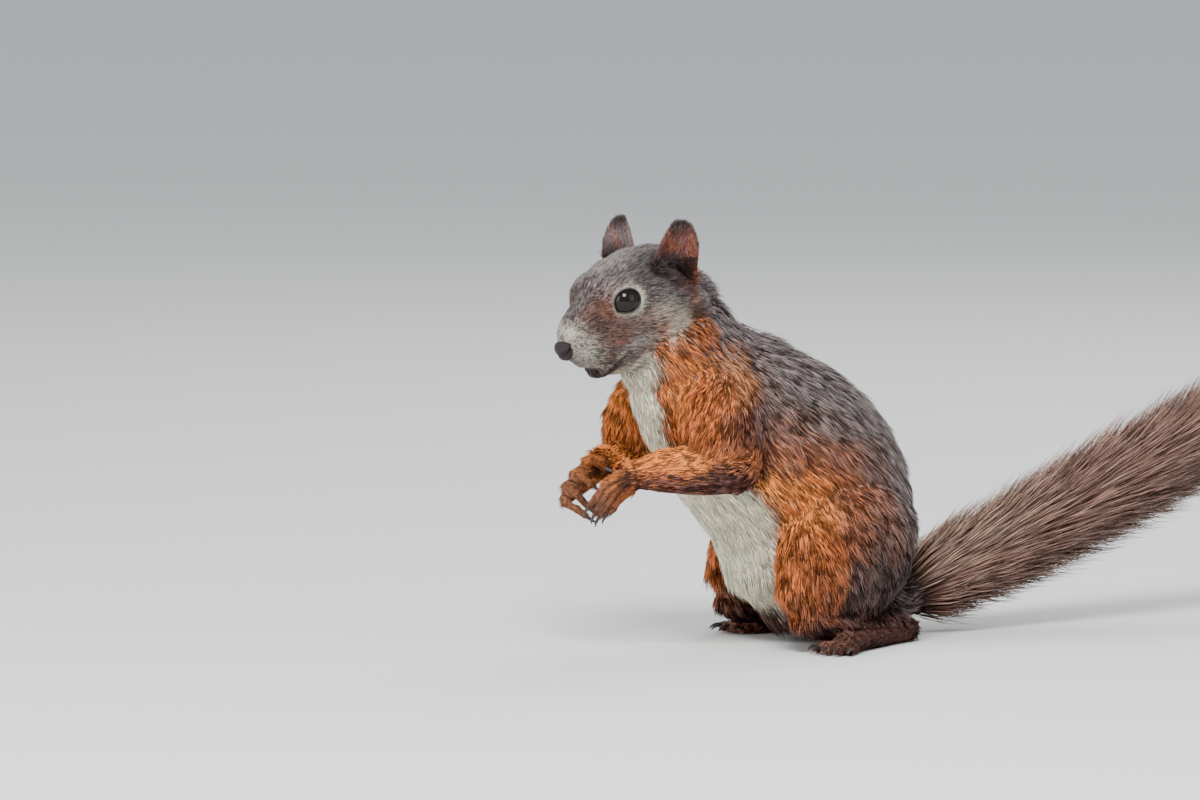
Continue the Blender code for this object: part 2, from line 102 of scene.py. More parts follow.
# %% [markdown]
# ## Two sets of axes
# The squirrel looks along -Y, its left side is +X and its tail goes back along +Y.
# The head is turned and tipped a little, so the face is easier to describe in the head's own axes:
# ahead to the nose, left, and up to the crown.
# One eye of the solid model tells how far its origin lies from the one used here.

# %% Axes of the body and of the head
MM = 0.001
SIDES = ("left", "right")
HEAD_CENTRE = np.array((1.0, -67.2, 115.1))
HEAD_TURN = np.array(Matrix.Rotation(math.radians(10), 3, "Z") @ Matrix.Rotation(math.radians(15), 3, "X"))
EYE_RADIUS = 5.15
EYE_AHEAD, EYE_LEFT, EYE_UP = 6.0, 10.6, 4.5


def unit(rows):
    """Directions made one unit long."""
    return rows / np.maximum(np.linalg.norm(rows, axis=-1, keepdims=True), 1e-6)


def head_direction(ahead, left, up):
    """A direction given in the head's own axes."""
    return HEAD_TURN @ np.array((left, -ahead, up), float)


def on_head(ahead, left, up):
    """A point given in the head's own axes, in millimetres from the head's centre."""
    return HEAD_CENTRE + head_direction(ahead, left, up)


def in_head(points):
    """Points of the body as columns of ahead, left and up in the head's axes."""
    local = (points - HEAD_CENTRE) @ HEAD_TURN
    return np.stack((-local[:, 1], local[:, 0], local[:, 2]), axis=1)


eye_low, eye_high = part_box("eye_left")
SHIFT = np.array((eye_low + eye_high) / 2) / MM - on_head(EYE_AHEAD, EYE_LEFT, EYE_UP)
print("the lesson's origin is moved by", SHIFT.round(2), "mm")

# %% [markdown]
# ## Floor, light and camera
# A pale floor and soft light from large lamps show the coat without hard shadows.
# The key light stands high in front of the squirrel's left side, so the eye catches it near its top.
# The second lamp is behind, and draws a thin bright edge along the back and tail.
# A display look with more contrast keeps the orange of the coat from going pale under so much light.
# The camera is far off with a long lens, low over the floor and to the squirrel's left.

# %% A material, and a lamp or camera that faces the squirrel
AIM = Vector((np.array((0.0, -74.7, 84.2)) + SHIFT) * MM)


def new_material(name, settings):
    """A material, its node tree and its shader, with plain values set on the shader."""
    made = bpy.data.materials.new(name)
    made.use_nodes = True
    shader = made.node_tree.nodes["Principled BSDF"]
    for socket, value in settings.items():
        shader.inputs[socket].default_value = value
    return made, made.node_tree, shader


def stand_facing(name, data, azimuth, height, distance):
    """A lamp or a camera at a distance from the squirrel, at two angles in degrees, turned to face it."""
    made = bpy.data.objects.new(name, data)
    turn, rise = math.radians(azimuth), math.radians(height)
    outward = Vector((math.sin(turn) * math.cos(rise), -math.cos(turn) * math.cos(rise), math.sin(rise)))
    made.location = AIM + outward * distance
    made.rotation_euler = outward.to_track_quat("Z", "Y").to_euler()
    bpy.context.collection.objects.link(made)
    return made


print("lamps and camera look at a point", round(AIM.z * 1000), "mm above the floor")

# %% The floor
FLOOR_SIZE = 80
FLOOR_COLOUR = (0.86, 0.86, 0.85, 1)
bpy.ops.mesh.primitive_plane_add(size=FLOOR_SIZE)
floor = bpy.context.object
floor.name = "floor"
floor.data.materials.append(new_material("pale floor", {"Base Color": FLOOR_COLOUR, "Roughness": 0.95})[0])
floor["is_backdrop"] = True
print("the floor is", FLOOR_SIZE, "m wide")

# %% The lamps
# name, azimuth and height in degrees, distance and size in metres, power in watts
LAMPS = (
    ("key", 58, 46, 1.5, 0.55, 46),
    ("edge", 215, 42, 1.6, 0.8, 15),
    ("fill", 120, 20, 2.0, 1.4, 16),
    ("front", 2, 16, 1.9, 1.2, 30),
)
for name, azimuth, height, distance, size, power in LAMPS:
    lamp = bpy.data.lights.new(name, "AREA")
    lamp.size = size
    lamp.energy = power
    stand_facing(name, lamp, azimuth, height, distance)
print(len(LAMPS), "lamps stand round the squirrel")

# %% The light of the room, and how it is shown
world = bpy.data.worlds.new("studio")
bpy.context.scene.world = world
world.use_nodes = True
world.node_tree.nodes["Background"].inputs["Color"].default_value = (0.93, 0.96, 1.0, 1.0)
world.node_tree.nodes["Background"].inputs["Strength"].default_value = 1.05
bpy.context.scene.view_settings.look = "AgX - Punchy"
print("the picture is shown with the look", bpy.context.scene.view_settings.look)

# %% The camera
# focal length and width of the sensor in millimetres
lens = bpy.data.cameras.new("camera")
lens.lens = 236
lens.sensor_width = 36
lens.clip_end = 100
camera = stand_facing("camera", lens, 62, 5, 2.6)
bpy.context.scene.camera = camera
print("the camera stands", round(camera.location.z * 1000), "mm above the floor")

# %% [markdown]
# ## Flesh under the coat
# The solid parts reach out to the tips of the hair, and the flesh lies deeper by the depth of the coat.
# The skin could be drawn again from nothing, but the solid parts already have the right shape.
# So they are copied, swollen a little until they overlap, and fused into one closed surface.
# A voxel remesh does the fusing: it fills the volume with small cubes and wraps them again.
# The hands and feet are too fine for cubes of this size, so they join in later.

# %% Reading a mesh as arrays
def mesh_points(mesh):
    """The points of a mesh as rows of x, y and z."""
    flat = np.empty(len(mesh.vertices) * 3, np.float32)
    mesh.vertices.foreach_get("co", flat)
    return flat.reshape(-1, 3).astype(float)


def mesh_normals(mesh):
    """The outward direction at each point of a mesh."""
    flat = np.empty(len(mesh.vertices) * 3, np.float32)
    mesh.vertex_normals.foreach_get("vector", flat)
    return flat.reshape(-1, 3).astype(float)


def mesh_triangles(mesh):
    """The triangles of a mesh as rows of three point numbers."""
    mesh.calc_loop_triangles()
    flat = np.empty(len(mesh.loop_triangles) * 3, np.int32)
    mesh.loop_triangles.foreach_get("vertices", flat)
    return flat.reshape(-1, 3)


# %% Making a mesh from arrays
def new_mesh(name, points, faces):
    """A mesh made from arrays. The faces are one array of triangles or one of quads."""
    mesh = bpy.data.meshes.new(name)
    sides = faces.shape[1]
    mesh.vertices.add(len(points))
    mesh.vertices.foreach_set("co", np.ascontiguousarray(points, np.float32).ravel())
    mesh.loops.add(faces.size)
    mesh.loops.foreach_set("vertex_index", np.ascontiguousarray(faces, np.int32).ravel())
    mesh.polygons.add(len(faces))
    mesh.polygons.foreach_set("loop_start", np.arange(0, faces.size, sides, dtype=np.int32))
    mesh.update(calc_edges=True)
    return mesh


def new_object(name, points, faces):
    """An object from arrays of millimetres in the lesson's axes."""
    made = bpy.data.objects.new(name, new_mesh(name, (points + SHIFT) * MM, faces))
    bpy.context.collection.objects.link(made)
    return made


# %% Joining and fusing
def joined(name, made):
    """Several objects joined into one, which takes the name."""
    bpy.ops.object.select_all(action="DESELECT")
    for piece in made:
        piece.select_set(True)
    bpy.context.view_layer.objects.active = made[0]
    bpy.ops.object.join()
    made[0].name = name
    return made[0]


def fused(thing, voxel, smoothing):
    """The closed overlapping forms of an object wrapped in one surface of small squares."""
    wrap = thing.modifiers.new("wrap", "REMESH")
    wrap.mode = "VOXEL"
    wrap.voxel_size = voxel * MM
    soften = thing.modifiers.new("soften", "SMOOTH")
    soften.factor = 0.5
    soften.iterations = smoothing
    flatten_modifiers(thing)
    print(thing.name, "has", len(thing.data.polygons), "faces after fusing")
    return thing


def flatten_modifiers(thing):
    """Turns what the modifiers make into the object's own mesh."""
    graph = bpy.context.evaluated_depsgraph_get()
    final = bpy.data.meshes.new_from_object(thing.evaluated_get(graph))
    thing.modifiers.clear()
    thing.data = final


def swollen_copy(node, grow):
    """A copy of a solid part in millimetres, pushed outwards along its normals."""
    source = frame["nodes"][node].data
    points = mesh_points(source) / MM - SHIFT + mesh_normals(source) * grow
    triangles = mesh_triangles(source)
    corners, places = np.unique(points.round(3), axis=0, return_inverse=True)
    return new_object("copy_" + node, corners, places.reshape(-1)[triangles])


# %% One closed body out of the solid parts of flesh
SWELLING = 0.22
COARSE_CUBE, COARSE_SMOOTHING = 0.8, 6
FLESH_PARTS = ["head", "nose", "eye_left", "eye_right", "neck", "chest", "loin", "pelvis"]
FLESH_PARTS += [f"{part}_{side}" for part in ("upper_arm", "forearm", "hand", "thigh", "shank", "foot")
                for side in SIDES]
copies = [swollen_copy(node, SWELLING) for node in FLESH_PARTS if not node.startswith(("hand", "foot"))]
body = fused(joined("body", copies), COARSE_CUBE, COARSE_SMOOTHING)

# %% [markdown]
# ## How the coat lies
# A squirrel's hair is a few millimetres long on the face and fingers, near ten on the back, and up to forty
# on the tail.
# It lies towards the tail on the body, towards the hand on the arm and towards the toes on the foot.
# Each part of the body gets a row: how deep the coat is, how long its hair is, how far the hair stands
# off the skin, and which way it points. Later the rows are smoothed into each other over the skin.

# %% The coat of each part
# depth and length in millimetres, lift in degrees, width of a tuft, how closely tufts stand, and the lie
COAT = {
    "head": (1.1, 3.2, 15, 0.36, 2.6, head_direction(-1, 0, -0.12)),
    "ear": (0.4, 2.2, 14, 0.28, 3.4, head_direction(-0.25, 0.2, 1)),
    "neck": (2.6, 7.0, 26, 0.38, 1.0, (0, 0.62, -0.78)),
    "chest": (3.0, 6.8, 20, 0.37, 1.0, (0, 0.60, -0.80)),
    "loin": (3.1, 8.4, 21, 0.39, 1.0, (0, 0.66, -0.75)),
    "pelvis": (3.1, 8.2, 20, 0.40, 1.0, (0, 0.35, -0.93)),
    "upper_arm": (2.3, 5.8, 17, 0.36, 1.0, (0, -0.35, -0.94)),
    "forearm": (1.5, 4.5, 17, 0.36, 1.5, (-0.45, -0.9, -0.1)),
    "hand": (0.35, 2.0, 12, 0.30, 3.2, (-0.2, -0.75, -0.6)),
    "thigh": (2.7, 6.2, 17, 0.36, 1.0, (0.05, 0.30, -0.95)),
    "shank": (1.4, 4.6, 17, 0.40, 1.3, (0, 0.6, -0.5)),
    "foot": (0.35, 3.0, 13, 0.36, 2.2, (0.3, -0.95, -0.1)),
    "tail_base": (3.0, 9.5, 26, 0.46, 1.2, (0, 0.93, 0.37)),
}
SAME_COAT = {"eye": "head", "nose": "head", "tail_middle": "tail_base", "tail_upper": "tail_base",
             "tail_tip": "tail_base"}


def coat_row(node):
    """Depth, length, lift, width, closeness and lie of the coat on a solid part, as eight numbers."""
    part = node.replace("_left", "").replace("_right", "")
    *numbers, lie = COAT[SAME_COAT.get(part, part)]
    lie = np.array(lie, float)
    if node.endswith("_right"):
        lie = lie * (-1, 1, 1)
    return [*numbers, *unit(lie)]


print("the coat has", len(COAT), "rows")


# %% Smoothing numbers over a surface
def mesh_edges(mesh):
    """The two point numbers of each edge."""
    flat = np.empty(len(mesh.edges) * 2, np.int32)
    mesh.edges.foreach_get("vertices", flat)
    return flat.reshape(-1, 2)


def smoothed(values, edges, rounds):
    """Each point's numbers mixed with its neighbours' again and again."""
    count = len(values)
    ends = np.concatenate((edges[:, 0], edges[:, 1]))
    others = np.concatenate((edges[:, 1], edges[:, 0]))
    neighbours = np.maximum(np.bincount(ends, minlength=count), 1)
    for _ in range(rounds):
        for column in range(values.shape[1]):
            total = np.bincount(ends, weights=values[others, column], minlength=count)
            values[:, column] = 0.4 * values[:, column] + 0.6 * total / neighbours
    return values


def nearest_part(points, nodes):
    """For each point, the number of the solid part whose surface is nearest."""
    best = np.full(len(points), 1e9)
    chosen = np.zeros(len(points), int)
    for number, node in enumerate(nodes):
        solid = frame["nodes"][node].data
        surface = mesh_points(solid) / MM - SHIFT
        low, high = surface.min(0) - 6, surface.max(0) + 6
        near = np.flatnonzero(((points > low) & (points < high)).all(axis=1))
        tree = BVHTree.FromPolygons(surface.tolist(), mesh_triangles(solid).tolist())
        for place in near:
            distance = tree.find_nearest(points[place])[3]
            if distance < best[place]:
                best[place] = distance
                chosen[place] = number
    return chosen


# %% Sink the flesh below the coat
points = mesh_points(body.data) / MM - SHIFT
edges = mesh_edges(body.data)
part_number = nearest_part(points, FLESH_PARTS)
rows = np.array([coat_row(node) for node in FLESH_PARTS])
depth = smoothed(rows[part_number][:, :1].copy(), edges, 20)
points = points - mesh_normals(body.data) * depth
body.data.vertices.foreach_set("co", ((points + SHIFT) * MM).astype(np.float32).ravel())
body.data.update()
print("the coat is", depth.min().round(2), "to", depth.max().round(2), "mm deep on the body")

# %% [markdown]
# ## The tail's core, the ears and the paws
# A squirrel's tail is a thin rod of bone and skin, and all the rest of it is hair.
# The rod is a tapered tube on the tail's own line.
# An ear is a thin cup that opens sideways. It is drawn as a sheet of small squares, curled across its width,
# and given a thickness. The palms and fingers are tubes round their bones, so that they come out as thin
# as real ones. All of these are fused with the body in one more remesh with smaller cubes.

# %% A tube round a line
def tube(name, line, radii, sides):
    """A closed tube with a fan at each end, along a line of points in millimetres."""
    line = np.array(line, float)
    rings = []
    for number, centre in enumerate(line):
        ahead = unit(line[min(number + 1, len(line) - 1)] - line[max(number - 1, 0)])
        across = unit(np.cross(ahead, (0.13, 0.21, 0.97) if abs(ahead[2]) < 0.9 else (1, 0, 0)))
        over = np.cross(across, ahead)
        angles = np.arange(sides) * 2 * math.pi / sides
        ring = np.outer(np.cos(angles), across) + np.outer(np.sin(angles), over)
        rings.append(centre + radii[number] * ring)
    points = np.concatenate((*rings, line[:1], line[-1:]))
    first, last = len(points) - 2, len(points) - 1
    faces = []
    for ring in range(len(line) - 1):
        for side in range(sides):
            a, b = ring * sides + side, ring * sides + (side + 1) % sides
            faces += [(a, b, b + sides), (a, b + sides, a + sides)]
    for side in range(sides):
        a, b = side, (side + 1) % sides
        faces += [(b, a, first), (first - sides + a, first - sides + b, last)]
    return new_object(name, points, np.array(faces))


# %% The tail's core
# distance from the root, rise of the middle and radius of the core
TAIL_PITCH = math.radians(22)
TAIL_ROOT = np.array((0.0, 38.0, 12.0))
ALONG_TAIL = np.array((0, math.cos(TAIL_PITCH), math.sin(TAIL_PITCH)))
ABOVE_TAIL = np.array((0, -math.sin(TAIL_PITCH), math.cos(TAIL_PITCH)))
TAIL_CORE = ((-16, 1, 6.0), (0, 0.5, 5.6), (14, 0, 4.6), (30, 0, 3.9), (60, 0, 3.4), (95, 0.4, 3.0),
             (130, 1.2, 2.6), (150, 2.4, 2.1), (163, 3.2, 1.2))


def on_tail(distance, rise):
    """A point in the tail's middle plane, from its root."""
    return TAIL_ROOT + ALONG_TAIL * distance + ABOVE_TAIL * rise


core_line = [on_tail(far, rise) for far, rise, radius in TAIL_CORE]
tail_core = tube("tail_core", core_line, [radius for far, rise, radius in TAIL_CORE], 20)
print("the core of the tail is", TAIL_CORE[-1][0] - TAIL_CORE[0][0], "mm long")

# %% An ear as a curled sheet
EAR_THICKNESS = 1.1
EAR_ACROSS = unit(np.array((14.9, -3.2, 4.0)))
EAR_CURL = 0.36
EAR_LONG, EAR_WIDE = 36, 21
# ahead, left and up of the ear's middle, and half its width, from the root to the tip
EAR_ROWS = np.array((
    (-14.0, 10.6, 4.0, 8.0), (-14.2, 12.0, 8.5, 8.3), (-14.9, 13.4, 13.0, 8.0), (-16.0, 14.6, 16.6, 7.1),
    (-17.3, 15.4, 19.8, 5.6), (-18.2, 15.9, 22.0, 3.9), (-18.6, 16.0, 23.2, 2.3), (-18.7, 16.0, 23.7, 0.9)))


def ear_sheet(hand):
    """The middle surface of one ear, from its root up to its tip, with a thickness."""
    steps = np.linspace(0, len(EAR_ROWS) - 1, EAR_LONG)
    rows = np.stack([np.interp(steps, range(len(EAR_ROWS)), column) for column in EAR_ROWS.T], axis=1)
    grid = []
    for ahead, left, up, width in rows:
        for angle in np.linspace(-1, 1, EAR_WIDE):
            curl = EAR_CURL * width * angle * angle - 0.5
            reach = EAR_ACROSS * width * angle
            grid.append(on_head(ahead + reach[0], hand * (left + curl + reach[1]), up + reach[2]))
    starts = [row * EAR_WIDE + step for row in range(EAR_LONG - 1) for step in range(EAR_WIDE - 1)]
    faces = [(a, a + 1, a + 1 + EAR_WIDE, a + EAR_WIDE) for a in starts]
    ear = new_object("ear_" + ("left" if hand > 0 else "right"), np.array(grid), np.array(faces))
    thick = ear.modifiers.new("thick", "SOLIDIFY")
    thick.thickness = EAR_THICKNESS * MM
    thick.offset = 0
    flatten_modifiers(ear)
    return ear


# %% Bones of the hands
# each finger's knuckle, middle joint and tip
FINGERS = {
    "left": (
        ((7.5, -76.0, 57.6), (5.5, -79.0, 52.6), (2.5, -80.0, 49.3)),
        ((8.6, -75.5, 54.9), (6.8, -77.5, 51.0), (4.0, -78.4, 47.2)),
        ((9.6, -74.5, 53.2), (8.4, -76.5, 49.7), (6.2, -77.7, 46.5)),
        ((10.6, -72.9, 52.5), (9.8, -74.6, 49.5), (8.4, -75.7, 47.5)),
    ),
    "right": (
        ((-9.0, -76.1, 62.9), (-6.0, -74.4, 63.6), (-2.6, -72.4, 61.9)),
        ((-9.5, -80.4, 58.3), (-6.5, -77.9, 58.4), (-2.0, -76.6, 55.9)),
        ((-9.5, -83.3, 54.1), (-6.0, -80.1, 52.4), (-2.5, -77.9, 48.8)),
        ((-9.0, -83.9, 50.1), (-6.0, -80.6, 47.9), (-3.0, -78.5, 45.7)),
    ),
}
WRISTS = {"left": (11.2, -67.6, 59.8), "right": (-10.0, -67.5, 61.8)}
FINGER_RADII = (1.75, 1.32, 1.18, 1.34, 1.12, 1.12, 0.62)


def hand_pieces(side):
    """Tubes for the palm and the fingers of one hand, which overlap."""
    wrist = np.array(WRISTS[side])
    made = []
    for knuckle, joint, tip in np.array(FINGERS[side]):
        behind = wrist + (knuckle - wrist) * 0.1
        made.append(tube("palm", [wrist, behind * 0.5 + knuckle * 0.5, knuckle], (3.5, 2.9, 1.7), 12))
        line = [knuckle, knuckle * 0.6 + joint * 0.4, knuckle * 0.25 + joint * 0.75, joint,
                joint * 0.5 + tip * 0.5, tip, tip + (tip - joint) * 0.18]
        made.append(tube("finger", line, FINGER_RADII, 12))
    return made


# %% Fuse again with smaller cubes
FOOT_COAT = 0.3
FINE_CUBE, FINE_SMOOTHING = 0.42, 3
hands = [piece for side in SIDES for piece in hand_pieces(side)]
feet = [swollen_copy("foot_" + side, -FOOT_COAT) for side in SIDES]
forms = [body, tail_core, ear_sheet(1), ear_sheet(-1), *hands, *feet]
skin = fused(joined("skin", forms), FINE_CUBE, FINE_SMOOTHING)

# %% [markdown]
# ## The face
# The fused head is smooth, so its features are pressed and raised, as in wax.
# A press is a line in the head's axes with a width and a height, and it always works on both sides.
# Sculpting by hand would do as well, but strokes with numbers can be changed one at a time.

# %% A stroke that raises or presses the skin
def stroke_distance(points, stations):
    """How far each point is from a line through a few stations."""
    stations = np.array(stations, float)
    nearest = np.full(len(points), 1e9)
    for start, end in zip(stations[:-1], stations[1:]):
        along = end - start
        share = np.clip((points - start) @ along / (along @ along), 0, 1)
        nearest = np.minimum(nearest, np.linalg.norm(points - start - share[:, None] * along, axis=1))
    return nearest


def face_stroke(points, normals, stations, width, height):
    """Raises the skin along a line on both sides of the head, or presses it where the height is negative."""
    local = in_head(points)
    local[:, 1] = np.abs(local[:, 1])
    share = np.exp(-((stroke_distance(local, stations) / width) ** 2))
    return points + normals * (share * height)[:, None]


# %% Lines of the face, with their width and height
MOUTH_LINE = ((22.4, 0, -15.2), (18.5, 2.6, -15.5), (15.2, 5.0, -15.1), (12.9, 6.8, -14.6),
              (10.3, 8.4, -13.9))
LIP_LINE = ((17.4, 0, -18.4), (16.6, 2.2, -18.3), (14.2, 4.6, -17.4), (11.6, 6.8, -15.9))
NAPE_LINE = ((-54, 3, -26.5), (-41, 4, -19.7), (-37, 4, -14.3), (-33, 4, -9.8), (-30, 5, -4))
# brow, bridge of the nose, muzzle, cheek, lips and chin, mouth, folds and hollows of the ear, and the nape
FACE_STROKES = (
    (((9.5, 9, 10.2), (3, 11, 10.4), (-2.5, 12.5, 7.6)), 2.4, 0.7),
    (((15, 7, 5.5), (12.5, 9, 2.0)), 2.6, -0.5),
    (((29.5, 0, -4), (28.8, 0, -9.5)), 3.4, -2.3),
    (((26, 3.6, -4.8), (26.6, 3.2, -8.0)), 1.7, -1.3),
    (((24.5, 4.4, -8), (20, 6.4, -10.5), (14.5, 8.6, -10.5)), 2.8, 0.9),
    (((2, 14, -9), (-5, 16, -9)), 5.0, 0.7),
    (((19.8, 0, -17.6), (19.2, 2.8, -17.4)), 2.0, -2.8),
    (((17.2, 0, -20.5), (16.5, 3.0, -19.6)), 2.2, 0.7),
    (LIP_LINE, 1.1, 0.8),
    (MOUTH_LINE, 0.75, -2.4),
    (((28.2, 0, -10.8), (25.5, 0, -13.2), (22.8, 0, -15)), 0.7, -1.0),
    (((-19.5, 16, 7), (-20.0, 15.5, 3), (-18.5, 15.8, -1.0), (-16, 16.4, -1.8)), 1.3, 1.2),
    (((-15.5, 14.6, 8.5), (-17, 15.4, 4.0)), 2.4, -1.6),
    (((-8.2, 11.5, 12.8), (-10.5, 13.0, 8), (-13, 14.6, 3.5)), 1.2, 0.8),
    (NAPE_LINE, 6.0, 4.6),
    (((-22, 13, 9), (-24.5, 11, 2)), 3.6, -2.0),
)

# %% Press and raise the face
points = mesh_points(skin.data) / MM - SHIFT
normals = mesh_normals(skin.data)
for stations, width, height in FACE_STROKES:
    points = face_stroke(points, normals, stations, width, height)
print(len(FACE_STROKES), "strokes on each side of the face")

# %% [markdown]
# ## Lids
# A squirrel's eye bulges, and the skin lies on it as two lids that meet in corners.
# A hole could be cut in the skin, but its rim would then follow the small cubes in steps.
# So the skin stays closed. Its points near the rim are slid onto the exact outline of the opening,
# those inside it sink to just behind the ball's middle, where the ball hides them,
# and those outside are laid over the ball.

# %% The opening of each eye
EYE_AXIS = unit(np.array((0.34, 0.93, 0.13)))
OPENING = 4.25


def eye_frame(hand):
    """The eyeball's centre, the direction it looks in, and the directions to its front corner and its top."""
    centre = on_head(EYE_AHEAD, EYE_LEFT * hand, EYE_UP)
    axis = head_direction(EYE_AXIS[0], EYE_AXIS[1] * hand, EYE_AXIS[2])
    front = head_direction(0.88, 0, -0.47)
    front = unit(front - axis * (front @ axis))
    return centre, axis, front, np.cross(front, axis) * hand


def opening_radius(angle):
    """The distance from the middle of the eye to the lid's edge, longer at the front corner."""
    return OPENING + 0.45 * np.exp(-((angle / 0.34) ** 2)) + 0.3 * np.cos(2 * (angle - 0.4))


print("the eyes open to", round(2 * OPENING, 1), "mm")

# %% Lids close over the ball
LID_THICKNESS = 0.45
LID_EDGE_RISE = 0.18
LID_REACH, LID_BLEND_START = 8.6, 5.0


def soft_step(share):
    """A share that runs from 0 to 1, with soft ends."""
    share = np.clip(share, 0, 1)
    return share * share * (3 - 2 * share)


def open_eye(points, hand):
    """Skin points moved to leave the eye open, with lids close over the ball."""
    centre, axis, front, top = eye_frame(hand)
    offset = points - centre
    height = offset @ axis
    across = offset @ front
    over = offset @ top
    radius = np.maximum(np.hypot(across, over), 1e-6)
    angle = np.arctan2(over, across)
    edge = opening_radius(angle)
    near = (height > -2.5) & (radius < 9.5)
    step = radius / edge
    snapped = np.where(np.abs(step - 1) < 0.13, edge, radius)
    ball = EYE_RADIUS + LID_THICKNESS
    lid = np.sqrt(np.maximum(ball**2 - np.minimum(snapped, ball * 0.93) ** 2, 0))
    lid = lid + LID_EDGE_RISE * np.exp(-(((snapped - edge - 0.55) / 0.35) ** 2))
    share = soft_step((LID_REACH - snapped) / (LID_REACH - LID_BLEND_START))
    new_height = height * (1 - share) + lid * share
    new_height = np.where(step < 0.87, -1.0, new_height)
    scale = (snapped / radius)[:, None]
    moved = centre + axis * new_height[:, None] + (front * across[:, None] + top * over[:, None]) * scale
    return np.where(near[:, None], moved, points)


for hand in (1, -1):
    points = open_eye(points, hand)
skin.data.vertices.foreach_set("co", ((points + SHIFT) * MM).astype(np.float32).ravel())
skin.data.update()

# %% [markdown]
# ## Fewer faces where the coat hides the skin
# The face, ears, hands and feet keep their small squares.
# Under the long coat of the trunk and thighs fewer are enough, so they are merged there.

# %% Thin out the hidden skin
SHARE_KEPT = 0.45
HEAD_PARTS = ("head", "nose", "eye", "ear")
HAIRY_PARTS = FLESH_PARTS + ["ear_left", "ear_right", "tail_base", "tail_middle", "tail_upper", "tail_tip"]
part_number = nearest_part(points, HAIRY_PARTS)
is_fine = np.array([node.startswith((*HEAD_PARTS, "hand", "foot")) for node in HAIRY_PARTS])[part_number]
thin_group = skin.vertex_groups.new(name="thin")
thin_group.add(np.flatnonzero(~is_fine).tolist(), 1.0, "REPLACE")
merge = skin.modifiers.new("merge", "DECIMATE")
merge.ratio = SHARE_KEPT
merge.vertex_group = "thin"
flatten_modifiers(skin)
skin.vertex_groups.clear()
print("the skin keeps", len(skin.data.polygons), "faces")

# %% [markdown]
# ## Numbers for every point of the skin
# Each point of the skin learns which part it belongs to, and takes that part's row of the coat table.
# Mixing each point with its neighbours turns the hard borders into gentle ones.
# The lie of the hair is then laid flat on the surface, and along the bones on the fingers.
# Around the eyes, the lips and the ears hair has to be short, or it would stand in front of them.

# %% The coat at every point
points = mesh_points(skin.data) / MM - SHIFT
normals = mesh_normals(skin.data)
edges = mesh_edges(skin.data)
part_number = nearest_part(points, HAIRY_PARTS)
coat = smoothed(np.array([coat_row(node) for node in HAIRY_PARTS])[part_number], edges, 12)
length, lift, width, closeness, lie = coat[:, 1], coat[:, 2], coat[:, 3], coat[:, 4], coat[:, 5:8]
print("hair from", length.min().round(1), "to", length.max().round(1), "mm long on the skin")


def share_of(*names):
    """How far each point belongs to the named parts, from 0 to 1, with a soft border."""
    belongs = np.array([node.startswith(names) for node in HAIRY_PARTS], float)[part_number]
    return smoothed(belongs[:, None], edges, 6)[:, 0]


# %% Hair that follows the fingers, and painted shade in the creases between them
on_hand = np.array([node.startswith("hand") for node in HAIRY_PARTS])[part_number]
hand_points = points[on_hand]
bone_gaps, bone_lies = [], []
for side in SIDES:
    for finger in np.array(FINGERS[side]):
        for start, end in zip((np.array(WRISTS[side]), *finger[:-1]), finger):
            bone_gaps.append(stroke_distance(hand_points, (start, end)))
            bone_lies.append(unit(end - start))
bone_gaps = np.array(bone_gaps)
lie[on_hand] = np.array(bone_lies)[bone_gaps.argmin(axis=0)]
lie = unit(lie - normals * (lie * normals).sum(axis=1)[:, None])
nearest_fingers = np.sort(bone_gaps.reshape(8, 3, -1).min(axis=1), axis=0)
finger_ends = np.array([finger[-1] for side in SIDES for finger in FINGERS[side]])
from_end = np.linalg.norm(hand_points[:, None] - finger_ends[None], axis=2).min(axis=1)
finger_gap_shade, fingertip = np.zeros(len(points)), np.zeros(len(points))
# painted shade: darker where two fingers lie close together, in the creases between them
finger_gap_shade[on_hand] = np.exp(-(((nearest_fingers[1] - nearest_fingers[0]) / 0.55) ** 2))
fingertip[on_hand] = np.exp(-((from_end / 5.5) ** 2))
print("hair is combed along", len(finger_ends), "fingers")

# %% Hair of the head, shortest at the tip of the muzzle
local = in_head(points)
mirrored = np.stack((local[:, 0], np.abs(local[:, 1]), local[:, 2]), axis=1)
# places ahead of the head's centre, and the length of the hair there
HAIR_STATIONS = (-20, -8, 6, 18, 24, 27)
HAIR_LENGTHS = (5.4, 4.4, 3.4, 2.5, 1.5, 0.9)
face_length = np.interp(local[:, 0], HAIR_STATIONS, HAIR_LENGTHS)
ear_share = share_of("ear")
on_head_share = share_of(*HEAD_PARTS)
length = np.where(on_head_share > 0.5, face_length * (1 - ear_share) + length * ear_share, length)
print("hair on the head is up to", length[on_head_share > 0.9].max().round(1), "mm long")

# %% Longer hair that stands up along the nape
NAPE_WIDTH, NAPE_LENGTH, NAPE_LIFT = 9.0, 3.0, 14.0
on_nape = np.exp(-((stroke_distance(mirrored, NAPE_LINE) / NAPE_WIDTH) ** 2))
length = length + NAPE_LENGTH * on_nape
lift = lift + NAPE_LIFT * on_nape
print("hair on the nape is up to", length[on_nape > 0.5].max().round(1), "mm long")

# %% How far each point is from an eye
def eye_places(points):
    """Distance outside the nearest eye's opening, and the angle round that eye."""
    outside = np.full(len(points), 99.0)
    round_eye = np.zeros(len(points))
    for hand in (1, -1):
        centre, axis, front, top = eye_frame(hand)
        offset = points - centre
        across, over = offset @ front, offset @ top
        angle = np.arctan2(over, across)
        gap = np.hypot(across, over) - opening_radius(angle)
        gap = np.where(offset @ axis > -1.5, gap, 99.0)
        closer = gap < outside
        outside = np.where(closer, gap, outside)
        round_eye = np.where(closer, angle, round_eye)
    return outside, round_eye


outside_eye, round_eye = eye_places(points)
print(int((outside_eye < 1).sum()), "points lie in an eye's opening or within 1 mm of it")

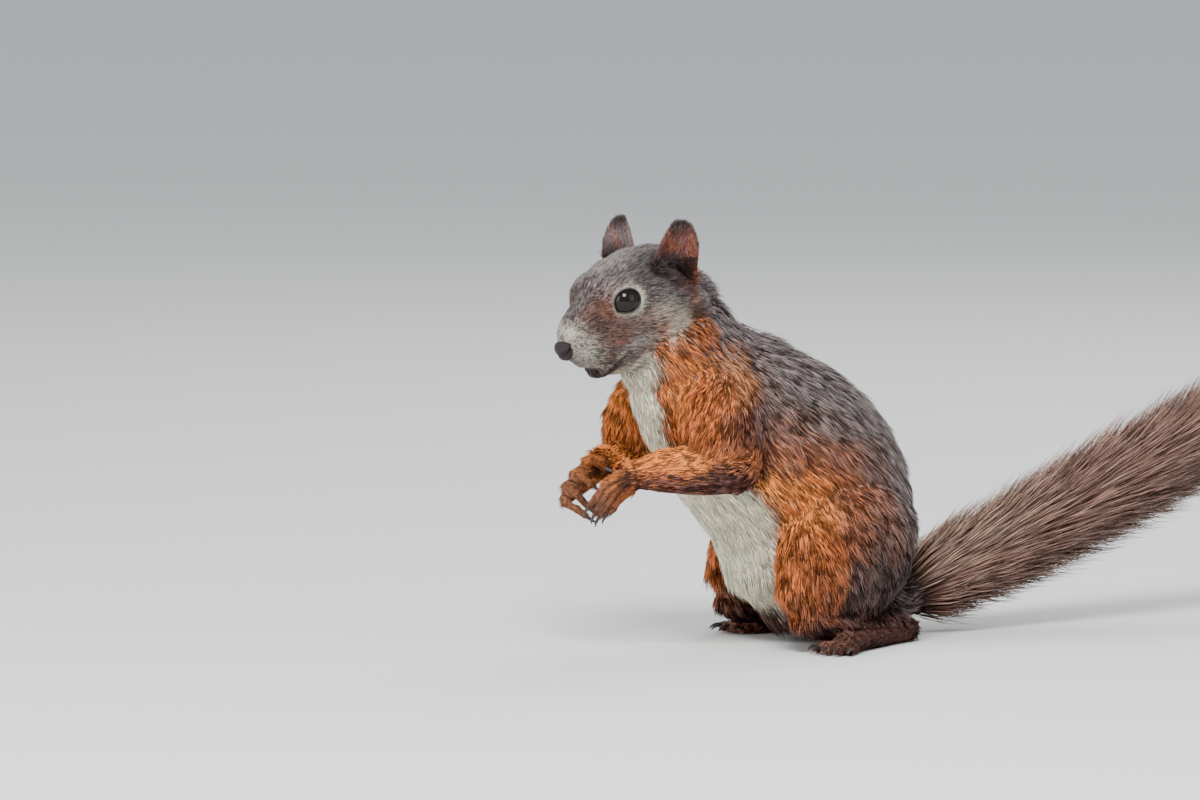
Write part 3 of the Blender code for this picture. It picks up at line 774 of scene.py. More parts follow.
# %% Where the eye, the nose and the mouth leave no hair, and hair is short near them
NOSE_CENTRE, NOSE_RADII = np.array((26.9, 0.0, -6.5)), np.array((3.6, 4.1, 3.9))
EAR_BACK_LINE = ((-21, 14, 10), (-23, 14, 1))
from_nose = np.linalg.norm((mirrored - NOSE_CENTRE) / NOSE_RADII, axis=1)
from_mouth = stroke_distance(mirrored, MOUTH_LINE)
from_lip = stroke_distance(mirrored, LIP_LINE)
from_ear_back = stroke_distance(mirrored, EAR_BACK_LINE)
SOLE_HEIGHT = 0.4
bare = (outside_eye < 0.35) | (from_nose < 1.0) | (points[:, 2] < SOLE_HEIGHT)
# distance, how far from there hair stays shortest, its length there, and how fast it grows further off
for distance, free, shortest, growth in ((from_ear_back, 2.5, 1.9, 0.55), (outside_eye, 0.0, 0.7, 0.75),
                                         (from_mouth, 0.4, 0.7, 0.9), (from_lip, 1.0, 0.8, 0.6)):
    length = np.minimum(length, shortest + growth * np.maximum(distance - free, 0))
print("no hair at", bare.sum(), "of", len(points), "points")

# %% [markdown]
# ## Markings
# A red squirrel in its dark coat has a grey-brown back, orange shoulders, arms and thighs, and a white front.
# The markings are soft blobs placed on the animal one after another, each in a named colour of fur.
# Three of them paint light and shade instead: painted rim light along the forearm's top and the belly's edge,
# and painted shade low between the legs.
# A blob is an egg with a centre, three radii and the parts it may colour, and it works on both sides.
# Slow waves bend the borders, as no marking on an animal ends in a clean line.

# %% Colours of the fur
# red, green and blue, and how grizzled: 1 has many silver and black tips, 0 has none
FUR = {
    "grey": (0.180, 0.134, 0.130, 1.0),
    "brown": (0.26, 0.112, 0.07, 0.5),
    "orange": (0.52, 0.138, 0.032, 0.15),
    # bright is bright orange fur, and also paints rim light on the forearm's top and the belly's edge
    "bright": (0.90, 0.31, 0.065, 0.1),
    "rust": (0.115, 0.036, 0.026, 0.1),
    # maroon is dark red-brown fur, and also paints shade low between the legs
    "maroon": (0.085, 0.032, 0.026, 0.1),
    "dark": (0.045, 0.028, 0.027, 0.05),
    "white": (0.88, 0.85, 0.68, 0.0),
    "cream": (0.74, 0.68, 0.54, 0.1),
    "pale": (0.66, 0.62, 0.52, 0.6),
    "paw": (0.46, 0.185, 0.09, 0.2),
    "tail": (0.25, 0.135, 0.10, 0.22),
}
print(len(FUR), "colours of fur")

# %% Marks of the body
# colour, strength, centre and radii in the body's axes, softness of the border, and the parts it may colour
BODY_MARKS = (
    ("orange", 1.0, (21, -52, 84), (16, 14, 21), 0.6, ("upper_arm", "chest", "neck")),
    ("orange", 1.0, (13, -53, 98), (9, 9, 14), 0.5, ("neck", "chest", "head")),
    ("bright", 0.7, (15, -50, 101), (6, 6, 8), 0.9, ("neck", "chest", "head")),
    ("grey", 0.95, (12, -38, 106), (12, 9, 12), 0.8, ("neck", "chest")),
    ("brown", 0.5, (17, -33, 91), (12, 9, 11), 0.8, ("neck", "chest", "upper_arm")),
    ("bright", 0.55, (18, -37, 91), (9, 7, 11), 1.0, ("neck", "chest", "upper_arm")),
    ("orange", 0.9, (24, -42, 70), (14, 14, 14), 0.6, ("upper_arm", "forearm", "chest")),
    ("bright", 0.7, (17, -58, 82), (6, 9, 16), 0.8, ("upper_arm", "chest")),
    ("orange", 1.0, (18, -60, 60), (60, 60, 60), 0.2, ("forearm", "hand")),
    # painted rim light: the forearm's top is lit up in bright orange
    ("bright", 0.85, (18, -56, 68), (22, 24, 5.5), 0.9, ("forearm",)),
    ("maroon", 0.95, (22, -48, 51.5), (40, 30, 9.0), 0.5, ("forearm", "upper_arm")),
    ("maroon", 0.9, (28, -42, 60), (9, 9, 8), 0.7, ("forearm", "upper_arm")),
    ("maroon", 0.9, (28, -33, 73), (10, 8, 15), 0.9, ("upper_arm", "chest", "loin")),
    ("brown", 0.8, (26, -21, 72), (12, 15, 13), 0.9, ("chest", "loin")),
    ("brown", 0.65, (26, -2, 63), (14, 22, 12), 0.9, ("loin", "pelvis", "thigh")),
    ("orange", 0.4, (26, -14, 67), (12, 18, 9), 1.0, ("loin", "pelvis", "thigh", "chest")),
    ("orange", 0.85, (32, -13, 60), (9, 18, 6.5), 0.9, ("loin", "pelvis", "thigh", "chest")),
    ("orange", 1.0, (34, -16, 42), (18, 19, 19), 0.7, ("thigh", "pelvis", "loin")),
    # painted rim light: the belly's edge is lit up in bright orange
    ("bright", 1.0, (30, -24, 58), (10, 16, 6), 0.8, ("loin", "pelvis", "thigh", "chest")),
    ("bright", 0.85, (33, -14, 49), (12, 15, 7), 0.9, ("thigh", "pelvis", "loin")),
    ("bright", 0.6, (34, -22, 34), (10, 8, 14), 0.9, ("thigh", "pelvis", "loin")),
    ("orange", 0.95, (34, -18, 24), (16, 14, 18), 0.8, ("thigh", "shank", "pelvis")),
    ("brown", 0.65, (34, 9, 47), (14, 16, 13), 0.9, ("thigh", "pelvis")),
    ("orange", 0.5, (33, 8, 50), (10, 12, 8), 0.9, ("thigh", "pelvis")),
    ("maroon", 0.65, (36, 4, 24), (15, 12, 19), 1.3, ("thigh", "shank", "pelvis")),
    ("dark", 0.95, (34, 19, 23), (24, 17, 25), 1.5, ("thigh", "pelvis", "shank")),
    ("brown", 0.5, (36, 12, 38), (6, 10, 8), 0.9, ("thigh", "pelvis")),
    ("dark", 0.7, (10, 26, 20), (34, 20, 22), 0.9, ("thigh", "pelvis", "shank", "tail_base")),
    ("grey", 0.5, (28, 28, 52), (16, 14, 15), 1.0, ("pelvis", "thigh")),
    ("maroon", 0.9, (30, -4, 6), (26, 24, 10), 0.7, ("shank", "thigh", "pelvis")),
    ("maroon", 1.0, (0, 0, 0), (90, 200, 12), 0.3, ("foot", "shank")),
    ("maroon", 1.0, (0, 0, 0), (90, 200, 30), 0.3, ("foot",)),
    ("brown", 0.7, (30, -20, 5), (20, 24, 8), 0.9, ("foot",)),
    ("orange", 0.5, (30, -40, 4), (20, 12, 8), 0.9, ("foot",)),
    ("white", 1.0, (21, -39, 48), (13, 13, 13), 0.5, ("loin", "pelvis", "chest")),
    ("white", 1.0, (0, -46, 46), (25, 24, 24), 0.3, ("loin", "pelvis", "chest")),
    ("white", 1.0, (23, -33, 46), (9, 11, 9), 0.6, ("loin", "pelvis", "chest")),
    ("white", 1.0, (12, -32, 30), (16, 17, 20), 0.4, ("pelvis", "loin")),
    ("white", 1.0, (8, -26, 16), (15, 14, 12), 0.4, ("pelvis", "loin")),
    # painted shade: the low belly between the legs is darkened to maroon, where shade falls
    ("maroon", 0.95, (0, -16, 2), (27, 30, 14), 0.6, ("pelvis", "loin")),
    ("white", 1.0, (0, -62, 78), (9.5, 17, 22), 0.3, ("chest", "neck", "loin")),
    ("cream", 0.9, (0, -60, 97), (12, 12, 8), 0.4, ("neck", "head", "chest")),
    ("paw", 0.85, (2, -81, 52), (14, 8, 9), 0.9, ("hand",)),
    ("bright", 0.4, (10, -74, 60), (10, 6, 5), 0.9, ("hand", "forearm")),
)
print(len(BODY_MARKS), "marks of the body")

# %% Marks of the head
# the same, with the centre and the radii in the head's axes
HEAD_MARKS = (
    ("brown", 0.55, (12, 9, 0), (13, 8, 9), 0.8, ("head", "eye")),
    ("maroon", 0.45, (16.7, 8, 2.6), (6, 5, 5), 0.9, ("head",)),
    ("brown", 0.75, (17.7, 8, 3.1), (6, 5, 5), 0.8, ("head",)),
    ("orange", 0.2, (13.6, 10, 3.0), (2.4, 3, 3.4), 0.9, ("head",)),
    ("brown", 0.75, (13.5, 9, -5.0), (6.5, 5, 4), 0.8, ("head",)),
    ("dark", 0.35, (14, 9, -1), (10, 7, 8), 0.9, ("head",)),
    ("brown", 0.8, (-0.4, 15, -3.4), (5, 5, 4.5), 0.8, ("head",)),
    ("pale", 0.4, (-1.8, 14, -8.0), (5, 5, 4), 0.9, ("head",)),
    ("orange", 0.35, (-1.0, 14, -8.5), (4, 5, 3), 0.9, ("head",)),
    ("orange", 0.3, (-2.5, 15, -7), (2.5, 4, 5), 0.9, ("head",)),
    ("pale", 0.55, (24.5, 5, -5.5), (5.5, 5, 6.5), 0.9, ("head", "nose")),
    ("white", 0.45, (27.2, 2, -2.0), (4.2, 5, 3.4), 0.9, ("head", "nose")),
    ("pale", 0.6, (19.5, 6, -11.5), (6.5, 5, 4.4), 0.8, ("head",)),
    ("pale", 0.55, (4.3, 12, -10.5), (6, 5, 3), 0.8, ("head",)),
    ("cream", 0.85, (-7.6, 15.5, -7.5), (5.0, 6, 4.6), 0.9, ("head", "neck")),
    ("pale", 0.55, (-3.4, 15, -1.8), (5, 5, 3), 0.9, ("head",)),
    ("pale", 0.6, (-11.4, 16, -11.5), (3, 5, 2), 0.9, ("head", "neck")),
    ("pale", 0.35, (2, 0, 16), (12, 6, 6), 0.8, ("head",)),
    ("dark", 1.0, (-9.0, 12, 11.0), (5.4, 6, 4.8), 0.7, ("head", "ear")),
    ("dark", 0.9, (-12.2, 14.5, 8.0), (3.4, 4, 3.4), 0.8, ("head", "ear")),
    ("maroon", 0.9, (-16.5, 15, -5.6), (3.8, 6, 4.8), 0.9, ("head", "neck")),
    ("orange", 0.95, (-10.6, 13.5, -14.6), (6.0, 8, 4.4), 0.8, ("head", "neck")),
    ("orange", 0.95, (-16.5, 14.5, -12.4), (5, 8, 5), 0.8, ("head", "neck")),
    ("brown", 0.8, (-16, 16, -1.5), (4.5, 4, 4.0), 0.8, ("head", "ear")),
    ("maroon", 0.9, (-15.5, 16, 5.0), (3.6, 6, 5.0), 0.8, ("head", "ear")),
    ("orange", 0.75, (-19.5, 16, 3.5), (2.8, 7, 6.0), 0.8, ("head", "ear", "neck")),
    ("cream", 0.8, (10, 0, -21), (9, 6, 4), 0.5, ("head",)),
    ("cream", 0.85, (7.5, 5, -19), (5, 9, 4.5), 0.7, ("head", "neck")),
    ("orange", 0.3, (12.4, 9, -8.3), (3.5, 4, 1.5), 0.9, ("head",)),
    ("orange", 0.5, (15.9, 7, -11.1), (2.4, 4, 1.8), 0.9, ("head",)),
    ("cream", 0.8, (13.0, 8.5, -12.4), (2.0, 4, 1.4), 0.9, ("head",)),
    ("rust", 1.0, (-17, 16.0, 16), (12, 8, 14), 0.3, ("ear", "head")),
    ("orange", 0.15, (-20.5, 17, 13), (2, 3.4, 5), 0.9, ("ear",)),
    ("orange", 0.4, (-13.2, 16, 16), (1.1, 4, 6), 0.9, ("ear",)),
    ("dark", 0.95, (-19, 16.5, 24.5), (8, 6, 4.4), 0.7, ("ear",)),
    ("dark", 0.95, (-24, 16.5, 18), (2.8, 5, 9), 0.7, ("ear",)),
    ("dark", 1.0, (-11.6, 13, 10.0), (7.2, 6, 5.0), 0.8, ("head", "ear")),
    ("maroon", 0.95, (-16.5, 15, 4.0), (4, 7, 5.4), 1.4, ("head", "ear")),
)
print(len(HEAD_MARKS), "marks of the head")

# %% A blob with a soft, bent border
def egg_share(places, centre, radii, softness):
    """1 inside an egg and 0 outside it, with a border as wide as softness says."""
    step = np.linalg.norm((places - np.array(centre)) / np.array(radii), axis=1)
    return soft_step((1 + softness / 2 - step) / softness)


def bent(places, size, amount):
    """Places moved by slow waves, to make borders irregular."""
    rolled = places[:, (1, 2, 0)]
    waves = np.sin(rolled / size + 1.3) + 0.6 * np.sin(rolled[:, (1, 2, 0)] / size * 2.3 + 0.4)
    return places + amount * waves


def painted(pelt, share, colour):
    """The pelt with one more fur mixed in, colour and grizzle alike."""
    return pelt * (1 - share[:, None]) + np.array(colour) * share[:, None]


# %% Paint the marks
pelt = np.tile(np.array(FUR["grey"]), (len(points), 1))
mirrored_body = points.copy()
mirrored_body[:, 0] = np.abs(mirrored_body[:, 0])
outward = (normals @ HEAD_TURN)[:, 0] * np.sign(local[:, 1])
outer_face = np.clip((outward + 0.1) / 0.4, 0, 1)
for places, marks in ((bent(mirrored_body, 4.0, 1.1), BODY_MARKS), (bent(mirrored, 2.6, 0.5), HEAD_MARKS)):
    for colour, strength, centre, radii, softness, parts in marks:
        share = strength * egg_share(places, centre, radii, softness) * share_of(*parts)
        share = share * outer_face if colour == "rust" else share
        pelt = painted(pelt, share, FUR[colour])
print("the marks coloured", len(points), "points")

# %% Darker and paler patches in all fur but the white
WHITE_FROM = 0.3
mottle = np.sin(bent(points, 5.0, 3.0) / 2.8 + 0.7).prod(axis=1)
pelt[:, :3] = pelt[:, :3] * (1 + 0.45 * mottle * (pelt[:, 1] < WHITE_FROM))[:, None]
print("patches change the colour by up to", round(45 * np.abs(mottle).max()), "percent")

# %% [markdown]
# ## Fine markings of the face and hands
# A squirrel wears a pale ring round each eye, and its lips, its whiskers' roots and its fingertips are nearly
# black, and painted shade darkens the creases between its fingers. These are too narrow for blobs.
# Their shapes are known already as distances from the eye, from lines, from single spots and from the
# bones of the hand, so each is painted where its distance is small, and fades out softly.

# %% The pale ring round the eye, and the lid's dark edge
ring = np.exp(-((outside_eye - 0.9) / np.where(np.cos(round_eye - 3.6) > 0, 1.05, 0.8)) ** 2)
ring = ring * (0.8 + 0.2 * np.cos(round_eye - 3.9)) * (outside_eye < 6)
pelt = painted(pelt, ring, (0.68, 0.65, 0.53, 0.0))
lid_edge = np.clip(1 - outside_eye / 0.28, 0, 1) * (outside_eye < 6)
pelt = painted(pelt, lid_edge, (0.02, 0.014, 0.013, 0.0))
print(int((ring > 0.5).sum()), "points in the pale rings")

# %% Where whiskers grow
# ahead, left and up of the root, and the length: four rows on the muzzle, then brow and cheek
WHISKER_SPOTS = [(22.0 - 1.5 * step, 4.6 + 0.75 * step, -7.4 - 1.6 * row - 0.25 * step, 13 + 3.4 * step)
                 for row in range(4) for step in range(5)]
MUZZLE_WHISKERS = len(WHISKER_SPOTS)
WHISKER_SPOTS += [(9, 9.5, 11.0, 15), (6.5, 10.0, 11.8, 13), (2.0, 14.0, -8.0, 12)]
root_gaps = [np.linalg.norm((mirrored - np.array(spot[:3])) * (1, 0.5, 1), axis=1)
             for spot in WHISKER_SPOTS[:MUZZLE_WHISKERS]]
from_whisker = np.min(root_gaps, axis=0)
print(2 * len(WHISKER_SPOTS), "whiskers will grow")

# %% Dark lips, whisker roots and fingertips, and painted shade in the creases between fingers
for dark in (np.exp(-((from_mouth / 0.7) ** 2)), 0.95 * np.exp(-((from_lip / 2.2) ** 4)),
             0.75 * np.exp(-((from_whisker / 0.42) ** 2)), 0.9 * finger_gap_shade, 0.6 * fingertip):
    pelt = painted(pelt, dark, (0.03, 0.015, 0.014, 0.0))
print("the darkest point has", pelt[:, 0].min().round(3), "of red, and the palest", pelt[:, 0].max().round(2))

# %% [markdown]
# ## Materials of hair and skin
# One hair is dark at its root, carries the colour of its place along its length, and may end in a pale or
# a black tip. That banding is what makes a grey back look salted.
# The coat and the skin both need it, so it is a node group with named inputs, built once.
# The colour of the place, the run from root to tip and a chance number per tuft are stored on the meshes.

# %% Small helpers for node trees
def with_inputs(tree, node, inputs):
    """A node with its plain input values and its links."""
    for name, value in dict(inputs).items():
        if isinstance(value, bpy.types.NodeSocket):
            tree.links.new(value, node.inputs[name])
        else:
            node.inputs[name].default_value = value
    return node


def add_node(tree, kind, inputs=(), **settings):
    """A new node with its settings and its inputs."""
    made = tree.nodes.new(kind)
    for name, value in settings.items():
        setattr(made, name, value)
    return with_inputs(tree, made, inputs)


def new_group(name, inputs, outputs):
    """A shader node group with named sockets. Each is a name, a kind and a starting value."""
    tree = bpy.data.node_groups.new(name, "ShaderNodeTree")
    for label, kind, start in inputs:
        socket = tree.interface.new_socket(label, in_out="INPUT", socket_type="NodeSocket" + kind)
        socket.default_value = start
    for label, kind in outputs:
        tree.interface.new_socket(label, in_out="OUTPUT", socket_type="NodeSocket" + kind)
    return tree, tree.nodes.new("NodeGroupInput").outputs, tree.nodes.new("NodeGroupOutput").inputs


def use_group(tree, group, inputs):
    """One use of a node group in a material."""
    made = tree.nodes.new("ShaderNodeGroup")
    made.node_tree = group
    return with_inputs(tree, made, inputs)


# %% Helpers for values, colours and stored numbers
def ramp_between(tree, value, low, high, out_low=0.0, out_high=1.0):
    """A value moved from one range to another, with soft ends."""
    made = add_node(tree, "ShaderNodeMapRange", {"Value": value, 1: low, 2: high, 3: out_low, 4: out_high},
                    interpolation_type="SMOOTHSTEP")
    return made.outputs["Result"]


def mixed(tree, share, first, second, how="MIX"):
    """Two colours mixed."""
    made = add_node(tree, "ShaderNodeMix", {0: share, 6: first, 7: second}, data_type="RGBA", blend_type=how)
    return made.outputs[2]


def multiplied(tree, first, second, how="MULTIPLY"):
    """Two values multiplied, or put through another sum."""
    return add_node(tree, "ShaderNodeMath", {0: first, 1: second}, operation=how).outputs[0]


def attribute(tree, name, output="Fac"):
    """A number or colour stored on the mesh."""
    return add_node(tree, "ShaderNodeAttribute", attribute_name=name).outputs[output]


def bumped(tree, shader, height, distance, strength, invert=False):
    """A shader with a bump from a height."""
    bump = add_node(tree, "ShaderNodeBump", {"Height": height, "Distance": distance, "Strength": strength},
                    invert=invert)
    tree.links.new(bump.outputs["Normal"], shader.inputs["Normal"])


# %% The banding of a hair: its sockets
banding, given, result = new_group(
    "hair banding",
    (("Pelt", "Color", (0.3, 0.2, 0.15, 1)), ("Grizzle", "Float", 0.5), ("Along", "Float", 0.5),
     ("Chance", "Float", 0.5)),
    (("Colour", "Color"),),
)
pelt_colour, grizzle, along, luck = (given[label] for label in ("Pelt", "Grizzle", "Along", "Chance"))

# %% Darker at the root, and a shade of its own for each tuft
speckle = add_node(banding, "ShaderNodeTexNoise", {"Scale": 420.0, "Detail": 2.0})
shade = multiplied(banding, ramp_between(banding, luck, 0.0, 1.0, 0.30, 1.80),
                   ramp_between(banding, speckle.outputs["Fac"], 0.3, 0.7, 0.86, 1.12))
shade = multiplied(banding, shade, ramp_between(banding, along, 0.1, 1.0, 0.16, 1.30))

# %% White fur stays nearly even, or it would look dirty
channels = add_node(banding, "ShaderNodeSeparateColor", {"Color": pelt_colour})
white_fur = ramp_between(banding, channels.outputs["Green"], 0.40, 0.75)
even_shade = ramp_between(banding, shade, 0.0, 2.0, 0.72, 1.20)
shade = add_node(banding, "ShaderNodeMix", {0: white_fur, 2: shade, 3: even_shade}).outputs[0]
grey_shade = add_node(banding, "ShaderNodeCombineColor", {"Red": shade, "Green": shade, "Blue": shade})
tinted = mixed(banding, 1.0, pelt_colour, grey_shade.outputs[0], "MULTIPLY")

# %% The luckiest tufts have pale tips, silver in grizzled fur and a brighter tone elsewhere
bright_pelt = mixed(banding, 1.0, pelt_colour, (2.1, 1.9, 1.6, 1), "MULTIPLY")
pale_tip = mixed(banding, grizzle, bright_pelt, (0.70, 0.63, 0.61, 1))
pale_share = multiplied(banding, ramp_between(banding, luck, 0.60, 0.74, 0.0, 0.70),
                        ramp_between(banding, along, 0.4, 0.9))
tinted = mixed(banding, pale_share, tinted, pale_tip)

# %% The unluckiest have dark tips, mostly in grizzled fur and never in white
dark_tip = mixed(banding, 1.0, pelt_colour, (0.16, 0.14, 0.15, 1), "MULTIPLY")
dark_share = multiplied(banding, ramp_between(banding, luck, 0.36, 0.28),
                        ramp_between(banding, along, 0.2, 0.7))
dark_share = multiplied(banding, dark_share, multiplied(banding, 1.0, white_fur, "SUBTRACT"))
dark_share = multiplied(banding, dark_share, ramp_between(banding, grizzle, 0.0, 0.8, 0.25, 0.85))
banding.links.new(mixed(banding, dark_share, tinted, dark_tip), result["Colour"])
print(banding.name, "has", len(banding.nodes), "nodes")


# %% [markdown]
# ## Looks of the coat and the skin
# Hair is glossy along its length only, and a coat of it looks soft, so its roughness is high and a little
# sheen pales its edges. The tail's longer hair is a trace smoother.
# The skin shows only between tufts and where the hair is very short. It has the same markings and banding,
# with a fine noise in place of the run from root to tip, and the same noise as a bump, like clipped fur.

# %% Material of the coat
def fur_material(name, roughness):
    """Hair with banding, made from the numbers stored on its tufts."""
    made, tree, shader = new_material(name, {"Roughness": roughness, "Specular IOR Level": 0.22,
                                             "Sheen Weight": 0.05, "Sheen Roughness": 0.45})
    bands = use_group(tree, banding, {
        "Pelt": attribute(tree, "pelt", "Color"), "Grizzle": attribute(tree, "grizzle"),
        "Along": attribute(tree, "along"), "Chance": attribute(tree, "chance")})
    tree.links.new(bands.outputs["Colour"], shader.inputs["Base Color"])
    return made


COAT_LOOK = fur_material("coat hair", 0.60)
TAIL_LOOK = fur_material("tail hair", 0.55)

# %% Material of the skin under the coat, with short hair as a bump
skin_look, tree, shader = new_material("furred skin", {"Roughness": 0.72, "Specular IOR Level": 0.25})
fine_hair = add_node(tree, "ShaderNodeTexNoise", {"Scale": 1500.0, "Detail": 3.0, "Distortion": 0.8})
patchy = add_node(tree, "ShaderNodeTexNoise", {"Scale": 700.0, "Detail": 2.0})
bands = use_group(tree, banding, {
    "Pelt": attribute(tree, "pelt", "Color"), "Grizzle": multiplied(tree, attribute(tree, "grizzle"), 0.5),
    "Along": ramp_between(tree, fine_hair.outputs["Fac"], 0.3, 0.7, 0.1, 0.8),
    "Chance": ramp_between(tree, patchy.outputs["Fac"], 0.3, 0.7)})
tree.links.new(bands.outputs["Colour"], shader.inputs["Base Color"])
bumped(tree, shader, fine_hair.outputs["Fac"], 0.0003, 0.8)
print("materials:", COAT_LOOK.name + ",", TAIL_LOOK.name, "and", skin_look.name)


# %% Numbers and colours stored on a mesh
def store_number(mesh, name, values):
    """A number for each point of a mesh."""
    layer = mesh.attributes.new(name, "FLOAT", "POINT")
    layer.data.foreach_set("value", np.ascontiguousarray(values, np.float32))


def store_colour(mesh, name, values):
    """A colour for each point of a mesh."""
    layer = mesh.attributes.new(name, "FLOAT_COLOR", "POINT")
    four = np.ones((len(values), 4), np.float32)
    four[:, :3] = values
    layer.data.foreach_set("color", four.ravel())


store_colour(skin.data, "pelt", pelt[:, :3])
store_number(skin.data, "grizzle", pelt[:, 3])

# %% [markdown]
# ## An unwrap for the coat's colours
# The colour of each tuft can be painted into an image.
# Each tuft takes a tiny square of that image, at its root's place on an unwrap of the skin.
# A light copy of the skin is cut open and laid flat, and every root looks up the nearest face on it.

# %% A light copy of the skin laid flat
LIGHT_FACES = 3000
flat_skin = skin.copy()
flat_skin.data = skin.data.copy()
bpy.context.collection.objects.link(flat_skin)
lighter = flat_skin.modifiers.new("lighter", "DECIMATE")
lighter.ratio = LIGHT_FACES / len(flat_skin.data.polygons)
flatten_modifiers(flat_skin)
bpy.ops.object.select_all(action="DESELECT")
flat_skin.select_set(True)
bpy.context.view_layer.objects.active = flat_skin
bpy.ops.object.mode_set(mode="EDIT")
bpy.ops.mesh.select_all(action="SELECT")
bpy.ops.mesh.quads_convert_to_tris()
bpy.ops.uv.smart_project(angle_limit=math.radians(70), island_margin=0.004)
bpy.ops.object.mode_set(mode="OBJECT")
print(len(flat_skin.data.polygons), "faces carry the unwrap")

# %% The place of a root on the unwrap
flat_points = mesh_points(flat_skin.data) / MM - SHIFT
flat_triangles = np.array([tuple(face.vertices) for face in flat_skin.data.polygons])
flat_uv = np.empty(len(flat_skin.data.loops) * 2, np.float32)
flat_skin.data.uv_layers.active.data.foreach_get("uv", flat_uv)
flat_uv = flat_uv.reshape(-1, 3, 2)
flat_tree = BVHTree.FromPolygons(flat_points.tolist(), flat_triangles.tolist())
bpy.data.objects.remove(flat_skin)


def unwrapped(roots):
    """The place of each root on the unwrap."""
    faces = np.array([flat_tree.find_nearest(root)[2] for root in roots])
    a, b, c = (flat_points[flat_triangles[faces, corner]] for corner in range(3))
    cross = np.cross(b - a, c - a)
    area = np.maximum((cross * cross).sum(axis=1), 1e-12)
    second = (np.cross(roots - a, c - a) * cross).sum(axis=1) / area
    third = (np.cross(b - a, roots - a) * cross).sum(axis=1) / area
    shares = np.clip(np.stack((1 - second - third, second, third), axis=1), 0, 1)
    shares = shares / shares.sum(axis=1)[:, None]
    return (flat_uv[faces] * shares[:, :, None]).sum(axis=1)


# %% [markdown]
# ## Growing tufts
# A tuft is a few hairs stuck together: a closed three-sided spindle, bent so that it lies down towards its
# tip. Where the hair is short, as on the face and the paws, a straight spike of four triangles is enough,
# and the triangles saved there pay for more of them.
# All tufts of a region are worked out together as arrays of numbers, which is far quicker than one by one.
# Some tufts trade colours with a neighbour, so that grey and orange hairs mix where two markings meet.

# %% The corners and faces of many tufts
BOX_LOW = np.array(solid_low) / MM - SHIFT + 0.02
BOX_HIGH = np.array(solid_high) / MM - SHIFT - 0.02
ROOT_DEPTH = 0.2
STATION_WIDTHS = (1.0, 1.0, 0.7)


def tuft_corners(line, normals, widths):
    """The corners of each tuft, and how far along and across it each corner lies. A line of two points makes
    a plain spike, and a longer one a spindle: it starts at a point, swells, and ends in a point."""
    line[:, 0] -= normals * ROOT_DEPTH
    stations = line.shape[1]
    ahead = unit(line[:, 1] - line[:, 0])
    side = unit(np.cross(normals, ahead))
    over = np.cross(ahead, side)
    rows, along, across = ([], [], []) if stations == 2 else ([line[:, 0]], [0.0], [0.0])
    for station in range(0 if stations == 2 else 1, stations - 1):
        size = (widths * 0.5 * STATION_WIDTHS[station])[:, None]
        middle = line[:, station]
        rows += [middle - side * size, middle + side * size, middle + over * size * 0.8]
        along += [station / (stations - 1)] * 3
        across += [-0.5, 0.5, 0.0]
    corners = np.clip(np.stack((*rows, line[:, -1]), axis=1), BOX_LOW, BOX_HIGH)
    return corners, np.array([*along, 1.0]), np.array([*across, 0.0])


def tuft_faces(count, per_tuft):
    """The triangles of all tufts: a cap or a point at the root, rings of three corners, and a point."""
    last = per_tuft - 1
    spike = per_tuft == 4
    pattern = [(0, 2, 1)] if spike else [(0, 2, 1), (0, 3, 2), (0, 1, 3)]
    for ring in range(0 if spike else 1, last - 3, 3):
        for a, b in ((0, 1), (1, 2), (2, 0)):
            pattern += [(ring + a, ring + b, ring + b + 3), (ring + a, ring + b + 3, ring + a + 3)]
    pattern += [(last - 3, last - 2, last), (last - 2, last - 1, last), (last - 1, last - 3, last)]
    return (np.arange(count)[:, None, None] * per_tuft + np.array(pattern)[None]).reshape(-1, 3)


# %% A piece of the coat
TUFT_UV = 0.003


def finish_piece(piece, look, slot_name, *nodes):
    """Material, body and the solid nodes a piece stands for. The slot name is not used."""
    piece.data.materials.clear()
    piece.data.materials.append(look)
    piece.data.shade_smooth()
    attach(piece, "root")
    if nodes:
        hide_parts(*nodes)


def grow(name, line, normals, widths, colours, grizzle, chance, look, slot_name):
    """A mesh of tufts along lines of points, with its colours, its place on the unwrap and its material."""
    corners, along, across = tuft_corners(line, normals, widths)
    count, per_tuft = corners.shape[:2]
    faces = tuft_faces(count, per_tuft)
    tufts = new_object(name, corners.reshape(-1, 3), faces)
    store_number(tufts.data, "along", np.tile(along, count))
    store_number(tufts.data, "chance", np.repeat(chance, per_tuft))
    store_number(tufts.data, "grizzle", np.repeat(grizzle, per_tuft))
    store_colour(tufts.data, "pelt", np.repeat(colours, per_tuft, axis=0))
    patch = np.stack((across, along - 0.5), axis=1) * TUFT_UV
    places = unwrapped(corners[:, 0])[:, None, :] + patch[None]
    layer = tufts.data.uv_layers.new(name="OFBake")
    layer.data.foreach_set("uv", places.reshape(-1, 2)[faces.ravel()].astype(np.float32).ravel())
    finish_piece(tufts, look, slot_name)
    print(name, "has", count, "tufts and", len(faces), "triangles")


# %% Roots spread over the skin
triangles = mesh_triangles(skin.data)
face_area = np.linalg.norm(np.cross(points[triangles[:, 1]] - points[triangles[:, 0]],
                                    points[triangles[:, 2]] - points[triangles[:, 0]]), axis=1) / 2
face_bare = bare[triangles].any(axis=1)
face_closeness = closeness[triangles].mean(axis=1) * np.where(face_bare, 0, 1) * face_area


